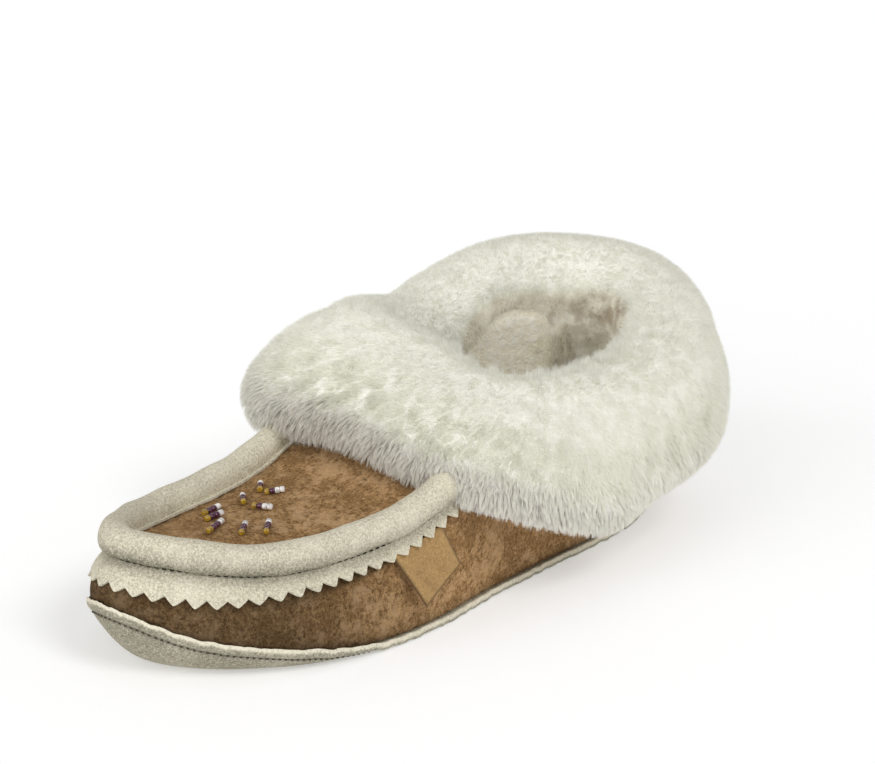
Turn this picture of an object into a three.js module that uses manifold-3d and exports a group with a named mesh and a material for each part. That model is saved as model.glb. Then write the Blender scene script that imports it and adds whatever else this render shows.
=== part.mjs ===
// Sheepskin moccasin slipper for the left foot.
// Millimetres, +Z up, toe towards -Y, outer side of the foot towards +X.
// The origin is on the floor, under the middle of the sole.
import * as THREE from "three";
import Module from "manifold-3d";

const wasm = await Module();
wasm.setup();

// Driving dimensions
const SOLE_LENGTH = 250;
const SOLE_THICKNESS = 2.4;
const WALL_THICKNESS = 2.2;
const APRON_THICKNESS = 2;
const INSOLE_THICKNESS = 4;
const SEAM_GAP = 0.3;
const BED_GAP = 0.8;
const FUR_GAP = 0.36;

// Blunt ends of the last: the power of its plan curve, and the spine that insets run towards
const END_POWER = 3.2;
const TOE_SPINE = -72;
const HEEL_SPINE = 88;

// The wall stands this far in from the edge of the sole and bellies out on its way up
const FOOT_INSET = 1.8;
const WALL_BELLY = 2.2;
const BELLY_HEIGHT = 0.55;

// Rings of the sole's turned-up edge, as shares of its curl
const CURL_SHARES = [1, 0.5, 0.15, 0];

// Insole: how far in its flat middle and its shoulder lie, and the share of its thickness at the edge
const BED = { middle: 22, shoulder: 11, edgeShare: 0.6 };

// Padded roll over the apron seam: its section and its place from the wall's top line
const ROLL_RADIUS = 5.5;
const ROLL_INWARD = 2;
const ROLL_UPWARD = 5.9;
const ROLL_END = THREE.MathUtils.degToRad(97);
const APRON_SEAT = THREE.MathUtils.degToRad(-25);
const APRON_FRONT = THREE.MathUtils.degToRad(8);
const CROWN_POWER = 2.2;

// Zigzag strip under the roll
const TRIM_THICKNESS = 1.5;
const TOOTH_DEPTH = 2.2;
const TOOTH_COUNT = 49;
const TRIM_END = THREE.MathUtils.degToRad(92);
const TRIM_FLARE = { outer: 2.4, inner: 0.6, power: 1.5 };

// Blank label that hangs from the seam on the outer side
const TAG = { front: 70, back: 80, start: 3.2, drop: 17.4, thickness: 1, lean: 2.8, flare: 2.6 };

// Bead rows
const BEAD_RADIUS = 1.15;
const BEAD_NECK = 0.6;
const BEADS_IN_ROW = 4;

// Steps of the faceted surfaces
const RING_STEPS = 72;
const WALL_STEPS = 4;
const ROLL_STEPS = 36;
const ROLL_SIDES = 10;
const APRON_ROWS = 16;
const APRON_COLUMNS = 8;
const COLLAR_STEPS = 36;
const BEAD_SIDES = 5;
const TAG_STEPS = 4;
const EVEN_STEPS = 181;
const SEARCH_STEP = 0.01;

// Clear space that the fur leaves for the leather: how far past its ends, and how deep under the apron
const SPACE_PAST = 0.01;
const SPACE_DEPTH = 16;

// Last: half widths each side of the centre line, from heel (along 0) to toe (along 1)
const LAST = [
  { along: 0.0, lateral: 34.0, medial: 34.0 },
  { along: 0.14, lateral: 36.0, medial: 34.0 },
  { along: 0.3, lateral: 36.0, medial: 33.0 },
  { along: 0.45, lateral: 40.0, medial: 35.0 },
  { along: 0.6, lateral: 47.0, medial: 40.0 },
  { along: 0.72, lateral: 49.5, medial: 43.5 },
  { along: 0.86, lateral: 50.0, medial: 48.0 },
  { along: 1.0, lateral: 44.0, medial: 38.0 },
];

// Sole: height of its raw edge, and how far in from the edge it comes down to the floor
const SOLE = [
  { along: 0.0, lip: 2.6, curl: 3 },
  { along: 0.55, lip: 2.6, curl: 3 },
  { along: 0.68, lip: 3.1, curl: 5 },
  { along: 0.76, lip: 5.4, curl: 7.5 },
  { along: 0.82, lip: 8.5, curl: 10.5 },
  { along: 0.87, lip: 11.4, curl: 13.5 },
  { along: 0.92, lip: 14.4, curl: 15.5 },
  { along: 0.96, lip: 18.2, curl: 18 },
  { along: 1.0, lip: 24.5, curl: 20.5 },
];

// Top line of the wall: its inset from the sole's edge and its height on each side
const TOP_LINE = [
  { along: 0.0, inset: 6.0, lateral: 66.0, medial: 66.0 },
  { along: 0.1, inset: 5.0, lateral: 63.0, medial: 66.5 },
  { along: 0.22, inset: 3.5, lateral: 58.0, medial: 66.0 },
  { along: 0.34, inset: 2.5, lateral: 56.0, medial: 62.0 },
  { along: 0.45, inset: 1.0, lateral: 51.5, medial: 54.0 },
  { along: 0.55, inset: 1.0, lateral: 41.5, medial: 42.0 },
  { along: 0.65, inset: 5.0, lateral: 33.0, medial: 33.0 },
  { along: 0.8, inset: 9.0, lateral: 29.5, medial: 29.5 },
  { along: 0.9, inset: 9.0, lateral: 31.0, medial: 31.0 },
  { along: 1.0, inset: 7.5, lateral: 36.0, medial: 36.0 },
];

// Apron: how far its middle stands above its edges
const APRON_CROWN = [
  { along: 0.42, crown: 8.5 },
  { along: 0.5, crown: 6.0 },
  { along: 0.58, crown: 3.0 },
  { along: 0.7, crown: 2.5 },
  { along: 0.85, crown: 2.5 },
  { along: 0.97, crown: 0.8 },
];

// Zigzag strip: how far its teeth come down from the top line
const TRIM = [
  { along: 0.48, drop: 2.6 },
  { along: 0.62, drop: 4.2 },
  { along: 0.75, drop: 5.4 },
  { along: 0.86, drop: 6.6 },
  { along: 0.94, drop: 8.6 },
  { along: 1.0, drop: 7.6 },
];

// Fur collar: one section for each bearing round the opening, 0 at the toe side, 90 at the outer side.
// A section is a fold of pile of the given half thickness, its reach counted from the middle of the opening.
const OPENING_Y = 66;
const FLANK_BELLY = 2;
const COLLAR = [
  { bearing: 0, foldReach: 48, foldTop: 79, foldHalf: 14, hemReach: 75, hemLow: 42, hemHalf: 12 },
  { bearing: 35, foldReach: 57, foldTop: 72.5, foldHalf: 14, hemReach: 83.5, hemLow: 33.5, hemHalf: 12 },
  { bearing: 65, foldReach: 46, foldTop: 70.8, foldHalf: 16, hemReach: 64, hemLow: 19.5, hemHalf: 12 },
  { bearing: 90, foldReach: 41.5, foldTop: 71, foldHalf: 16.5, hemReach: 52, hemLow: 22, hemHalf: 13 },
  { bearing: 120, foldReach: 44.5, foldTop: 76, foldHalf: 17, hemReach: 53.5, hemLow: 24.5, hemHalf: 14.5 },
  { bearing: 150, foldReach: 51.5, foldTop: 83.5, foldHalf: 18.5, hemReach: 58.5, hemLow: 25.5, hemHalf: 15.5 },
  { bearing: 180, foldReach: 57, foldTop: 90, foldHalf: 18, hemReach: 62.5, hemLow: 24, hemHalf: 16 },
  { bearing: 210, foldReach: 52, foldTop: 92.5, foldHalf: 18.5, hemReach: 59, hemLow: 21, hemHalf: 15.5 },
  { bearing: 240, foldReach: 44, foldTop: 91.5, foldHalf: 17.5, hemReach: 52, hemLow: 20, hemHalf: 13.5 },
  { bearing: 270, foldReach: 41, foldTop: 85.5, foldHalf: 17.5, hemReach: 49, hemLow: 24, hemHalf: 12.5 },
  { bearing: 295, foldReach: 44.5, foldTop: 80.5, foldHalf: 17, hemReach: 60.5, hemLow: 33.5, hemHalf: 13 },
  { bearing: 325, foldReach: 59, foldTop: 85.5, foldHalf: 17, hemReach: 82, hemLow: 37, hemHalf: 17 },
];
// Places round a section: -2 inside the fold, 0 outside it, 1 where the flank meets the hem, 3 behind the hem
const COLLAR_STATIONS = [-2, -1.5, -1, -0.5, 0, 0.5, 1, 1.5, 2, 3];

// Locks of wool, in rows down the outside of the collar; reach is counted in stations
const LOCK_ROWS = [
  { station: -1.1, count: 10, reach: 0.6, width: 6.4 },
  { station: -0.5, count: 12, reach: 0.6, width: 6.8 },
  { station: 0.05, count: 13, reach: 0.5, width: 7.0 },
  { station: 0.5, count: 14, reach: 0.5, width: 7.0 },
  { station: 0.95, count: 16, reach: 0.8, width: 6.6 },
];
// Rings of one lock: place along it, share of its width, and the lift of its sides and ridge off the skin
const LOCK_RINGS = [
  { place: -0.3, width: 0.5, sides: -1.6, ridge: -0.5 },
  { place: 0.45, width: 1.0, sides: -0.6, ridge: 2.4 },
  { place: 1.0, width: 0.06, sides: 1.5, ridge: 2.0 },
];
const LOCK_SWAY = 3;
const LOCK_SCATTER = 0.2;

// Bead rows on the apron, from the white end to the gold end
const BEAD_ROWS = [
  { x1: -15.6, y1: -62.6, x2: -14.2, y2: -71.2 },
  { x1: -9.6, y1: -66.5, x2: -9.1, y2: -74.5 },
  { x1: -4.0, y1: -71.6, x2: 0.8, y2: -82.0 },
  { x1: -16.6, y1: -51.7, x2: -10.5, y2: -56.6 },
  { x1: 0.6, y1: -54.0, x2: -6.0, y2: -57.0 },
  { x1: -18.7, y1: -41.8, x2: -13.9, y2: -46.4 },
  { x1: -6.5, y1: -42.0, x2: -11.0, y2: -47.0 },
  { x1: 3.6, y1: -68.4, x2: 9.2, y2: -75.4 },
  { x1: 7.9, y1: -62.1, x2: 14.2, y2: -69.2 },
];

const SUEDE_CREAM = { color: 0xd3cdb6, roughness: 0.95, metalness: 0 };
const SUEDE_BROWN = { color: 0x8a6442, roughness: 0.95, metalness: 0 };
const LEATHER_TAN = { color: 0xc49a60, roughness: 0.6, metalness: 0 };
const WOOL_WHITE = { color: 0xeeebdd, roughness: 1, metalness: 0 };
const FLEECE_BEIGE = { color: 0xcdbd9c, roughness: 1, metalness: 0 };
const BEAD_GLASS = { color: 0x3a1838, roughness: 0.15, metalness: 0 };

function list(count, make) {
  return Array.from({ length: count }, (_, i) => make(i));
}

function mix(from, to, share) {
  return from + (to - from) * share;
}

// Even spread of count values from first to last
function spread(first, last, count) {
  return list(count, (i) => mix(first, last, i / (count - 1)));
}

// Repeatable scatter between -1 and 1
function scatter(seed) {
  const wave = Math.sin(seed * 12.9898) * 43758.5453;
  return 2 * (wave - Math.floor(wave)) - 1;
}

// Smooth value of a table's column between its rows
function valueAt(rows, key, column, position) {
  const last = rows.length - 1;
  let low = 0;
  while (low < last - 1 && rows[low + 1][key] <= position) low += 1;
  const slope = (i) => {
    const before = rows[Math.max(i - 1, 0)];
    const after = rows[Math.min(i + 1, last)];
    return (after[column] - before[column]) / (after[key] - before[key]);
  };
  const start = rows[low];
  const end = rows[low + 1];
  const span = end[key] - start[key];
  const t = THREE.MathUtils.clamp((position - start[key]) / span, 0, 1);
  const ease = t * t * (3 - 2 * t);
  const bend = t * (1 - t) * (1 - t) * slope(low) - t * t * (1 - t) * slope(low + 1);
  return mix(start[column], end[column], ease) + span * bend;
}

// A table that goes all the way round, with rows repeated past both ends
function wrapped(rows, key, period) {
  const moved = (row, by) => ({ ...row, [key]: row[key] + by });
  const before = rows.slice(-2).map((row) => moved(row, -period));
  const after = rows.slice(0, 2).map((row) => moved(row, period));
  return [...before, ...rows, ...after];
}

const COLLAR_ROUND = wrapped(COLLAR, "bearing", 360);

// Edge of the sole at a turn round the plan: 0 at the toe, a quarter turn at the outer side
function edgePoint(turn) {
  const along = (1 + Math.cos(turn)) / 2;
  const side = Math.sin(turn) >= 0 ? "lateral" : "medial";
  const taper = Math.sqrt(Math.max(0, 1 - Math.abs(Math.cos(turn)) ** END_POWER));
  const halfWidth = valueAt(LAST, "along", side, along) * taper;
  return {
    x: side === "lateral" ? halfWidth : -halfWidth,
    y: SOLE_LENGTH * (0.5 - along),
    along,
    side,
  };
}

// Point at a distance in from the sole's edge, towards the spine of the last
function planPoint(turn, inset, height) {
  const edge = edgePoint(turn);
  const spineY = THREE.MathUtils.clamp(edge.y, TOE_SPINE, HEEL_SPINE);
  const reach = Math.hypot(edge.x, edge.y - spineY);
  const share = inset / reach;
  return new THREE.Vector3(mix(edge.x, 0, share), mix(edge.y, spineY, share), height);
}

function soleTop(turn, inset) {
  const { along } = edgePoint(turn);
  const lip = valueAt(SOLE, "along", "lip", along);
  const curl = valueAt(SOLE, "along", "curl", along);
  return (lip - SOLE_THICKNESS) * Math.max(0, 1 - inset / curl) ** 2 + SOLE_THICKNESS;
}

function topLine(turn) {
  const { along, side } = edgePoint(turn);
  return {
    inset: valueAt(TOP_LINE, "along", "inset", along),
    height: valueAt(TOP_LINE, "along", side, along),
  };
}

// Point on the wall: rise 0 at the sole and 1 at the top line, moved off the outer face
function wallPoint(turn, rise, off) {
  const top = topLine(turn);
  const foot = soleTop(turn, FOOT_INSET) + SEAM_GAP;
  const insets = [FOOT_INSET, FOOT_INSET - WALL_BELLY, top.inset];
  const heights = [foot, mix(foot, top.height, BELLY_HEIGHT), top.height];
  const curve = ([a, b, c]) => mix(mix(a, b, rise), mix(b, c, rise), rise);
  const slope = ([a, b, c]) => mix(b - a, c - b, rise);
  const run = slope(insets);
  const climb = slope(heights);
  const steep = Math.hypot(run, climb);
  const inset = curve(insets) - (off * climb) / steep;
  return planPoint(turn, inset, curve(heights) + (off * run) / steep);
}

// Point on the wall at a distance down from its top line
function belowTop(turn, down, off) {
  const height = topLine(turn).height - soleTop(turn, FOOT_INSET);
  return wallPoint(turn, 1 - down / height, off);
}

function rollPoint(turn, angle, radius) {
  const top = topLine(turn);
  const inset = top.inset + ROLL_INWARD + radius * Math.cos(angle);
  return planPoint(turn, inset, top.height + ROLL_UPWARD + radius * Math.sin(angle));
}

// Point on the apron, across from -1 at the inner side to 1 at the outer side
function apronPoint(turn, across, raise) {
  const outer = rollPoint(turn, APRON_SEAT, ROLL_RADIUS + SEAM_GAP);
  const inner = rollPoint(-turn, APRON_SEAT, ROLL_RADIUS + SEAM_GAP);
  const crown = valueAt(APRON_CROWN, "along", "crown", edgePoint(turn).along);
  const point = inner.lerp(outer, (across + 1) / 2);
  point.z += crown * (1 - Math.abs(across) ** CROWN_POWER) + raise;
  return point;
}

// Height of the apron's upper face over a point of the plan
function apronTop(x, y) {
  let turn = APRON_FRONT;
  while (apronPoint(turn, 0, 0).y < y) turn += SEARCH_STEP;
  const inner = apronPoint(turn, -1, 0);
  const outer = apronPoint(turn, 1, 0);
  const across = (2 * (x - inner.x)) / (outer.x - inner.x) - 1;
  return apronPoint(turn, across, 0).z;
}

// Place on the collar: a point, the way down along the fur and the way out of it
function collarPlace(bearing, station) {
  const get = (column) => valueAt(COLLAR_ROUND, "bearing", column, bearing);
  const fold = new THREE.Vector2(get("foldReach"), get("foldTop") - get("foldHalf"));
  const hem = new THREE.Vector2(get("hemReach"), get("hemLow") + get("hemHalf"));
  const along = hem.clone().sub(fold);
  const opened = Math.acos((get("foldHalf") - get("hemHalf")) / along.length());
  const outward = along.angle() + opened;
  const onFold = Math.max(0, -station) * (Math.PI - opened);
  const onHem = Math.max(0, station - 1) * opened;
  const angle = outward + onFold - onHem;
  const flank = THREE.MathUtils.clamp(station, 0, 1);
  const half = mix(get("foldHalf"), get("hemHalf"), flank);
  const belly = FLANK_BELLY * 4 * flank * (1 - flank);
  const normal = new THREE.Vector2(Math.cos(angle), Math.sin(angle));
  const spot = fold.lerp(hem, flank).addScaledVector(normal, half + belly);
  const heading = THREE.MathUtils.degToRad(bearing);
  const lift = (v, middle) =>
    new THREE.Vector3(v.x * Math.sin(heading), middle - v.x * Math.cos(heading), v.y);
  return {
    point: lift(spot, OPENING_Y),
    out: lift(normal, 0),
    down: lift(new THREE.Vector2(normal.y, -normal.x), 0),
  };
}

// Triangles that close a ring of points, worked from both ends towards the middle
function capFaces(first, count) {
  const faces = [];
  let low = 0;
  let high = count - 1;
  while (high - low > 1) {
    faces.push([first + low, first + low + 1, first + high]);
    low += 1;
    if (high - low > 1) faces.push([first + low, first + high - 1, first + high]);
    high -= 1;
  }
  return faces;
}

function volumeOf(points, faces) {
  const six = faces.map(([a, b, c]) => points[a].dot(points[b].clone().cross(points[c])));
  return six.reduce((sum, v) => sum + v, 0) / 6;
}

// Closed solid over a stack of rings: the last ring meets the first, or both ends are capped
function solidFromRings(rings, meets) {
  const count = rings[0].length;
  const bands = meets ? rings.length : rings.length - 1;
  const faces = [];
  for (let band = 0; band < bands; band += 1) {
    const low = band * count;
    const high = ((band + 1) % rings.length) * count;
    for (let i = 0; i < count; i += 1) {
      const next = (i + 1) % count;
      faces.push([low + i, low + next, high + next], [low + i, high + next, high + i]);
    }
  }
  if (!meets) {
    faces.push(...capFaces(0, count).map(([a, b, c]) => [a, c, b]));
    faces.push(...capFaces(bands * count, count));
  }
  const points = rings.flat();
  const turned = volumeOf(points, faces) < 0 ? faces.map(([a, b, c]) => [a, c, b]) : faces;
  const mesh = new wasm.Mesh({
    numProp: 3,
    vertProperties: new Float32Array(points.flatMap((p) => p.toArray())),
    triVerts: new Uint32Array(turned.flat()),
  });
  return new wasm.Manifold(mesh);
}

// Closed solid of a sheet: each row runs over its outer face and back over its inner face
function solidFromSheet(rows) {
  return solidFromRings(
    rows.map(({ outer, inner }) => [...outer, ...inner.toReversed()]),
    false,
  );
}

function meshOf(name, solid, finish) {
  const made = solid.getMesh();
  const geometry = new THREE.BufferGeometry();
  geometry.setAttribute("position", new THREE.BufferAttribute(made.vertProperties, 3));
  geometry.setIndex(new THREE.BufferAttribute(made.triVerts, 1));
  const mesh = new THREE.Mesh(geometry, new THREE.MeshStandardMaterial(finish));
  mesh.name = name;
  return mesh;
}

function largestBody(solid) {
  const bodies = solid.decompose();
  return bodies.reduce((best, body) => (body.volume() > best.volume() ? body : best));
}

const TURNS = list(RING_STEPS, (i) => (2 * Math.PI * i) / RING_STEPS);
const around = (make) => TURNS.map(make);

// Outsole: flat under heel and ball, turned up round the toe
function makeOutsole() {
  const curlAt = (turn) => valueAt(SOLE, "along", "curl", edgePoint(turn).along);
  const ring = (share, raise) =>
    around((turn) => {
      const inset = share * curlAt(turn);
      return planPoint(turn, inset, soleTop(turn, inset) - raise);
    });
  return solidFromRings(
    [
      ...CURL_SHARES.map((share) => ring(share, SOLE_THICKNESS)),
      ...CURL_SHARES.toReversed().map((share) => ring(share, 0)),
    ],
    false,
  );
}

// Insole: a soft bed on the sole, inside the wall
function makeInsole() {
  const edge = FOOT_INSET + WALL_THICKNESS + 2 * SEAM_GAP;
  const bed = [
    { inset: BED.middle, thick: INSOLE_THICKNESS },
    { inset: BED.shoulder, thick: INSOLE_THICKNESS },
    { inset: edge, thick: INSOLE_THICKNESS * BED.edgeShare },
  ];
  const ring = ({ inset, thick }) =>
    around((turn) => planPoint(turn, inset, soleTop(turn, inset) + BED_GAP + thick));
  const under = bed.map(({ inset }) => ring({ inset, thick: 0 }));
  return solidFromRings([...under, ...bed.toReversed().map(ring)], false);
}

// Upper: one wall round toe, sides and heel, open above and underneath
function makeUpper() {
  const rises = spread(0, 1, WALL_STEPS + 1);
  const face = (off) => rises.map((rise) => around((turn) => wallPoint(turn, rise, off)));
  return solidFromRings([...face(0), ...face(-WALL_THICKNESS).toReversed()], true);
}

// The apron's sheet between two heights off its upper face, reaching past its edges
function apronSheet(raise, drop, past) {
  const inside = spread(APRON_FRONT, ROLL_END, APRON_ROWS);
  const turns = past ? [APRON_FRONT - past, ...inside, ROLL_END + past] : inside;
  const columns = spread(-1 - past, 1 + past, APRON_COLUMNS + 1);
  return solidFromSheet(
    turns.map((turn) => ({
      outer: columns.map((across) => apronPoint(turn, across, raise)),
      inner: columns.map((across) => apronPoint(turn, across, -drop)),
    })),
  );
}

function rollTube(radius, past) {
  const turns = spread(-ROLL_END - past, ROLL_END + past, ROLL_STEPS);
  const angles = list(ROLL_SIDES, (i) => (2 * Math.PI * i) / ROLL_SIDES);
  return solidFromRings(
    turns.map((turn) => angles.map((angle) => rollPoint(turn, angle, radius))),
    false,
  );
}

function trimDrop(turn) {
  return valueAt(TRIM, "along", "drop", edgePoint(turn).along);
}

// How far the strip stands off the wall at a distance down from its top
function trimOff(turn, down) {
  const flare = mix(TRIM_FLARE.inner, TRIM_FLARE.outer, Math.max(0, Math.sin(turn)) ** 2);
  return SEAM_GAP + flare * (down / trimDrop(turn)) ** TRIM_FLARE.power;
}

// Turns at even distances along the strip, so that all teeth are alike
function evenTurns(count) {
  const fine = spread(-TRIM_END, TRIM_END, EVEN_STEPS);
  const places = fine.map((turn) => belowTop(turn, 0, 0));
  let run = 0;
  const table = fine.map((turn, i) => {
    run += places[i].distanceTo(places[Math.max(0, i - 1)]);
    return { run, turn };
  });
  return spread(0, run, count).map((distance) => valueAt(table, "run", "turn", distance));
}

function makeTrim() {
  const turns = evenTurns(2 * TOOTH_COUNT + 1);
  const point = (turn, down, off) => belowTop(turn, down, trimOff(turn, down) + off);
  return solidFromSheet(
    turns.map((turn, i) => {
      const downs = [0, trimDrop(turn) - (i % 2) * TOOTH_DEPTH];
      return {
        outer: downs.map((down) => point(turn, down, TRIM_THICKNESS)),
        inner: downs.map((down) => point(turn, down, 0)),
      };
    }),
  );
}

// The strip's clear space, with plain edges
function trimSpace(grow) {
  const turns = spread(-TRIM_END - SPACE_PAST, TRIM_END + SPACE_PAST, 2 * TOOTH_COUNT + 1);
  const downs = (turn) => [-grow, trimDrop(turn) + grow];
  const point = (turn, down, off) => belowTop(turn, down, trimOff(turn, Math.max(0, down)) + off);
  return solidFromSheet(
    turns.map((turn) => ({
      outer: downs(turn).map((down) => point(turn, down, TRIM_THICKNESS + grow)),
      inner: downs(turn).map((down) => belowTop(turn, down, -WALL_THICKNESS)),
    })),
  );
}

function makeTag() {
  const rows = spread(0, 1, TAG_STEPS);
  const columns = spread(TAG.front, TAG.back, TAG_STEPS);
  const point = (row, column, thick) => {
    const turn = THREE.MathUtils.degToRad(column + row * TAG.lean);
    const off = SEAM_GAP + TAG.flare * row ** 2 + thick;
    return belowTop(turn, TAG.start + row * TAG.drop, off);
  };
  return solidFromSheet(
    rows.map((row) => ({
      outer: columns.map((column) => point(row, column, TAG.thickness)),
      inner: columns.map((column) => point(row, column, 0)),
    })),
  );
}

// Everything inside the wall's outer face, up to the top line
function wallSpace(grow) {
  const rises = spread(0, 1, WALL_STEPS + 1);
  const lid = (turn) => {
    const top = topLine(turn);
    return planPoint(turn, top.inset, top.height + grow);
  };
  return solidFromRings(
    [...rises.map((rise) => around((turn) => wallPoint(turn, rise, grow))), around(lid)],
    false,
  );
}

// One lock: a ridged tuft that follows the fur down and tapers to a tip
function makeLock(bearing, row, seed) {
  const reach = row.reach * (1 + LOCK_SCATTER * scatter(seed));
  const sway = LOCK_SWAY * scatter(seed + 0.5);
  const rings = LOCK_RINGS.map(({ place, width, sides, ridge }) => {
    const { point, out, down } = collarPlace(bearing + sway * place, row.station + reach * place);
    const across = out.clone().cross(down).multiplyScalar(row.width * width);
    const low = point.clone().addScaledVector(out, sides);
    return [low.clone().add(across), point.addScaledVector(out, ridge), low.sub(across)];
  });
  return solidFromRings(rings, false);
}

// Fur collar: a thick fold of pile with locks, clear of the leather that it lies on
function makeCollar() {
  const bearings = list(COLLAR_STEPS, (i) => (360 * i) / COLLAR_STEPS);
  const pile = solidFromRings(
    bearings.map((bearing) => COLLAR_STATIONS.map((s) => collarPlace(bearing, s).point)),
    true,
  );
  const locks = LOCK_ROWS.flatMap((row, r) =>
    list(row.count, (i) => {
      const seed = 100 * r + i;
      const shift = 0.5 * (r % 2) + LOCK_SCATTER * scatter(seed + 0.25);
      const bearing = (360 * (i + shift)) / row.count;
      return makeLock((bearing + 360) % 360, row, seed);
    }),
  );
  const fur = wasm.Manifold.union([pile, ...locks]);
  const leather = wasm.Manifold.union([
    wallSpace(FUR_GAP),
    apronSheet(FUR_GAP, SPACE_DEPTH, SPACE_PAST),
    rollTube(ROLL_RADIUS + FUR_GAP, SPACE_PAST),
    trimSpace(FUR_GAP),
  ]);
  return largestBody(fur.subtract(leather));
}

// One row of beads on a thread, lying on the apron
function makeBeadRow({ x1, y1, x2, y2 }) {
  const seat = SEAM_GAP + BEAD_RADIUS;
  const start = new THREE.Vector3(x1, y1, apronTop(x1, y1) + seat);
  const end = new THREE.Vector3(x2, y2, apronTop(x2, y2) + seat);
  const heading = end.clone().sub(start).normalize();
  const across = new THREE.Vector3(0, 0, 1).cross(heading).normalize();
  const upward = heading.clone().cross(across);
  const rings = spread(0, 1, 2 * BEADS_IN_ROW + 1).map((share, i) => {
    const radius = i % 2 ? BEAD_RADIUS : BEAD_NECK;
    const centre = start.clone().lerp(end, share);
    return list(BEAD_SIDES, (k) => {
      const angle = (2 * Math.PI * k) / BEAD_SIDES;
      return centre
        .clone()
        .addScaledVector(across, radius * Math.sin(angle))
        .addScaledVector(upward, radius * Math.cos(angle));
    });
  });
  return solidFromRings(rings, false);
}

const slipper = new THREE.Group();
slipper.add(
  meshOf("outsole", makeOutsole(), SUEDE_CREAM),
  meshOf("insole", makeInsole(), FLEECE_BEIGE),
  meshOf("upper", makeUpper(), SUEDE_BROWN),
  meshOf("apron", apronSheet(0, APRON_THICKNESS, 0), SUEDE_BROWN),
  meshOf("apron_roll", rollTube(ROLL_RADIUS, 0), SUEDE_CREAM),
  meshOf("pinked_trim", makeTrim(), SUEDE_CREAM),
  meshOf("tag", makeTag(), LEATHER_TAN),
  meshOf("fur_collar", makeCollar(), WOOL_WHITE),
);
BEAD_ROWS.forEach((row, i) => {
  slipper.add(meshOf(`bead_stitch_${i + 1}`, makeBeadRow(row), BEAD_GLASS));
});

export default slipper;
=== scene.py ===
import math

import bmesh
import bpy
import numpy as np
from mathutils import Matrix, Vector, kdtree


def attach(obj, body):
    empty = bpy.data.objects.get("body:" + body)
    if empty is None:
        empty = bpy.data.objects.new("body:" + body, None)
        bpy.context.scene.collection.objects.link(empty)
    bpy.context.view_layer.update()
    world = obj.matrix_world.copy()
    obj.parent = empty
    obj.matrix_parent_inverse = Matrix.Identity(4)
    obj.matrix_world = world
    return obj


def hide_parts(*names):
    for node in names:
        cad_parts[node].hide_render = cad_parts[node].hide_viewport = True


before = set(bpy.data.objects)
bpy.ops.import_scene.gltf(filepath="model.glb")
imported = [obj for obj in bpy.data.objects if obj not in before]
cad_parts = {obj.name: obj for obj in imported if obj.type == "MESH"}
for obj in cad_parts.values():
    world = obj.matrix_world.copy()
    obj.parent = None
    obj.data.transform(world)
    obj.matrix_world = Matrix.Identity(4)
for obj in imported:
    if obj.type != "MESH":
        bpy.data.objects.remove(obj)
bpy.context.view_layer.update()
print("frame loaded with", len(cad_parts), "nodes")

mm = 0.001  # sizes in this script are millimetres, meshes are metres


# The left foot's last: toe towards -Y, outer side towards +X, tables from heel (along 0) to toe (along 1)
shape = {
    "length": 250.0,
    "soleThick": 2.4,
    "wallThick": 2.2,
    "apronThick": 2.0,
    "bedThick": 4.0,
    "seamGap": 0.3,
    "bedGap": 0.8,
    "endPower": 3.2,
    "toeSpine": -72.0,
    "heelSpine": 88.0,
    "footInset": 1.8,
    "wallBelly": 2.2,
    "bellyHeight": 0.55,
}
lastTable = {
    "along": [0, 0.14, 0.30, 0.45, 0.60, 0.72, 0.86, 1],
    "lateral": [34, 36, 36, 40, 47, 49.5, 50, 44],
    "medial": [34, 34, 33, 35, 40, 43.5, 48, 38],
}
soleTable = {
    "along": [0, 0.55, 0.68, 0.76, 0.82, 0.87, 0.92, 0.96, 1],
    "lip": [2.6, 2.6, 3.1, 5.4, 8.5, 11.4, 14.4, 18.2, 24.5],
    "curl": [3, 3, 5, 7.5, 10.5, 13.5, 15.5, 18, 20.5],
}
topTable = {
    "along": [0, 0.10, 0.22, 0.34, 0.45, 0.55, 0.65, 0.80, 0.90, 1],
    "inset": [6, 5, 3.5, 2.5, 1, 1, 5, 9, 9, 7.5],
    "lateral": [66, 63, 58, 56, 51.5, 41.5, 33, 29.5, 31, 36],
    "medial": [66, 66.5, 66, 62, 54, 42, 33, 29.5, 31, 36],
}
trimTable = {
    "along": [0.48, 0.62, 0.75, 0.86, 0.94, 1],
    "drop": [2.6, 4.2, 5.4, 6.6, 8.6, 7.6],
}
crownTable = {
    "along": [0.42, 0.50, 0.58, 0.70, 0.85, 0.97],
    "crown": [8.5, 6, 3, 2.5, 2.5, 0.8],
}


def smoothAt(table, column, position, key="along"):
    xs = np.array(table[key], float)
    ys = np.array(table[column], float)
    last = len(xs) - 1
    before = np.maximum(np.arange(last + 1) - 1, 0)
    after = np.minimum(np.arange(last + 1) + 1, last)
    slopes = (ys[after] - ys[before]) / (xs[after] - xs[before])
    low = np.clip(np.searchsorted(xs, position, side="right") - 1, 0, last - 1)
    span = xs[low + 1] - xs[low]
    t = np.clip((position - xs[low]) / span, 0, 1)
    ease = t * t * (3 - 2 * t)
    bend = t * (1 - t) ** 2 * slopes[low] - t * t * (1 - t) * slopes[low + 1]
    return ys[low] + (ys[low + 1] - ys[low]) * ease + span * bend


def alongAt(turn):
    return (1 + np.cos(turn)) / 2


def bySide(table, turn):
    along = alongAt(turn)
    return np.where(np.sin(turn) >= 0, smoothAt(table, "lateral", along), smoothAt(table, "medial", along))


# Edge of the sole: turn 0 at the toe, a quarter turn at the outer side
def edgeAt(turn):
    blunt = np.abs(np.cos(turn)) ** shape["endPower"]
    half = bySide(lastTable, turn) * np.sqrt(np.clip(1 - blunt, 0, None))
    x = np.where(np.sin(turn) >= 0, half, -half)
    return x, shape["length"] * (0.5 - alongAt(turn))


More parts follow.
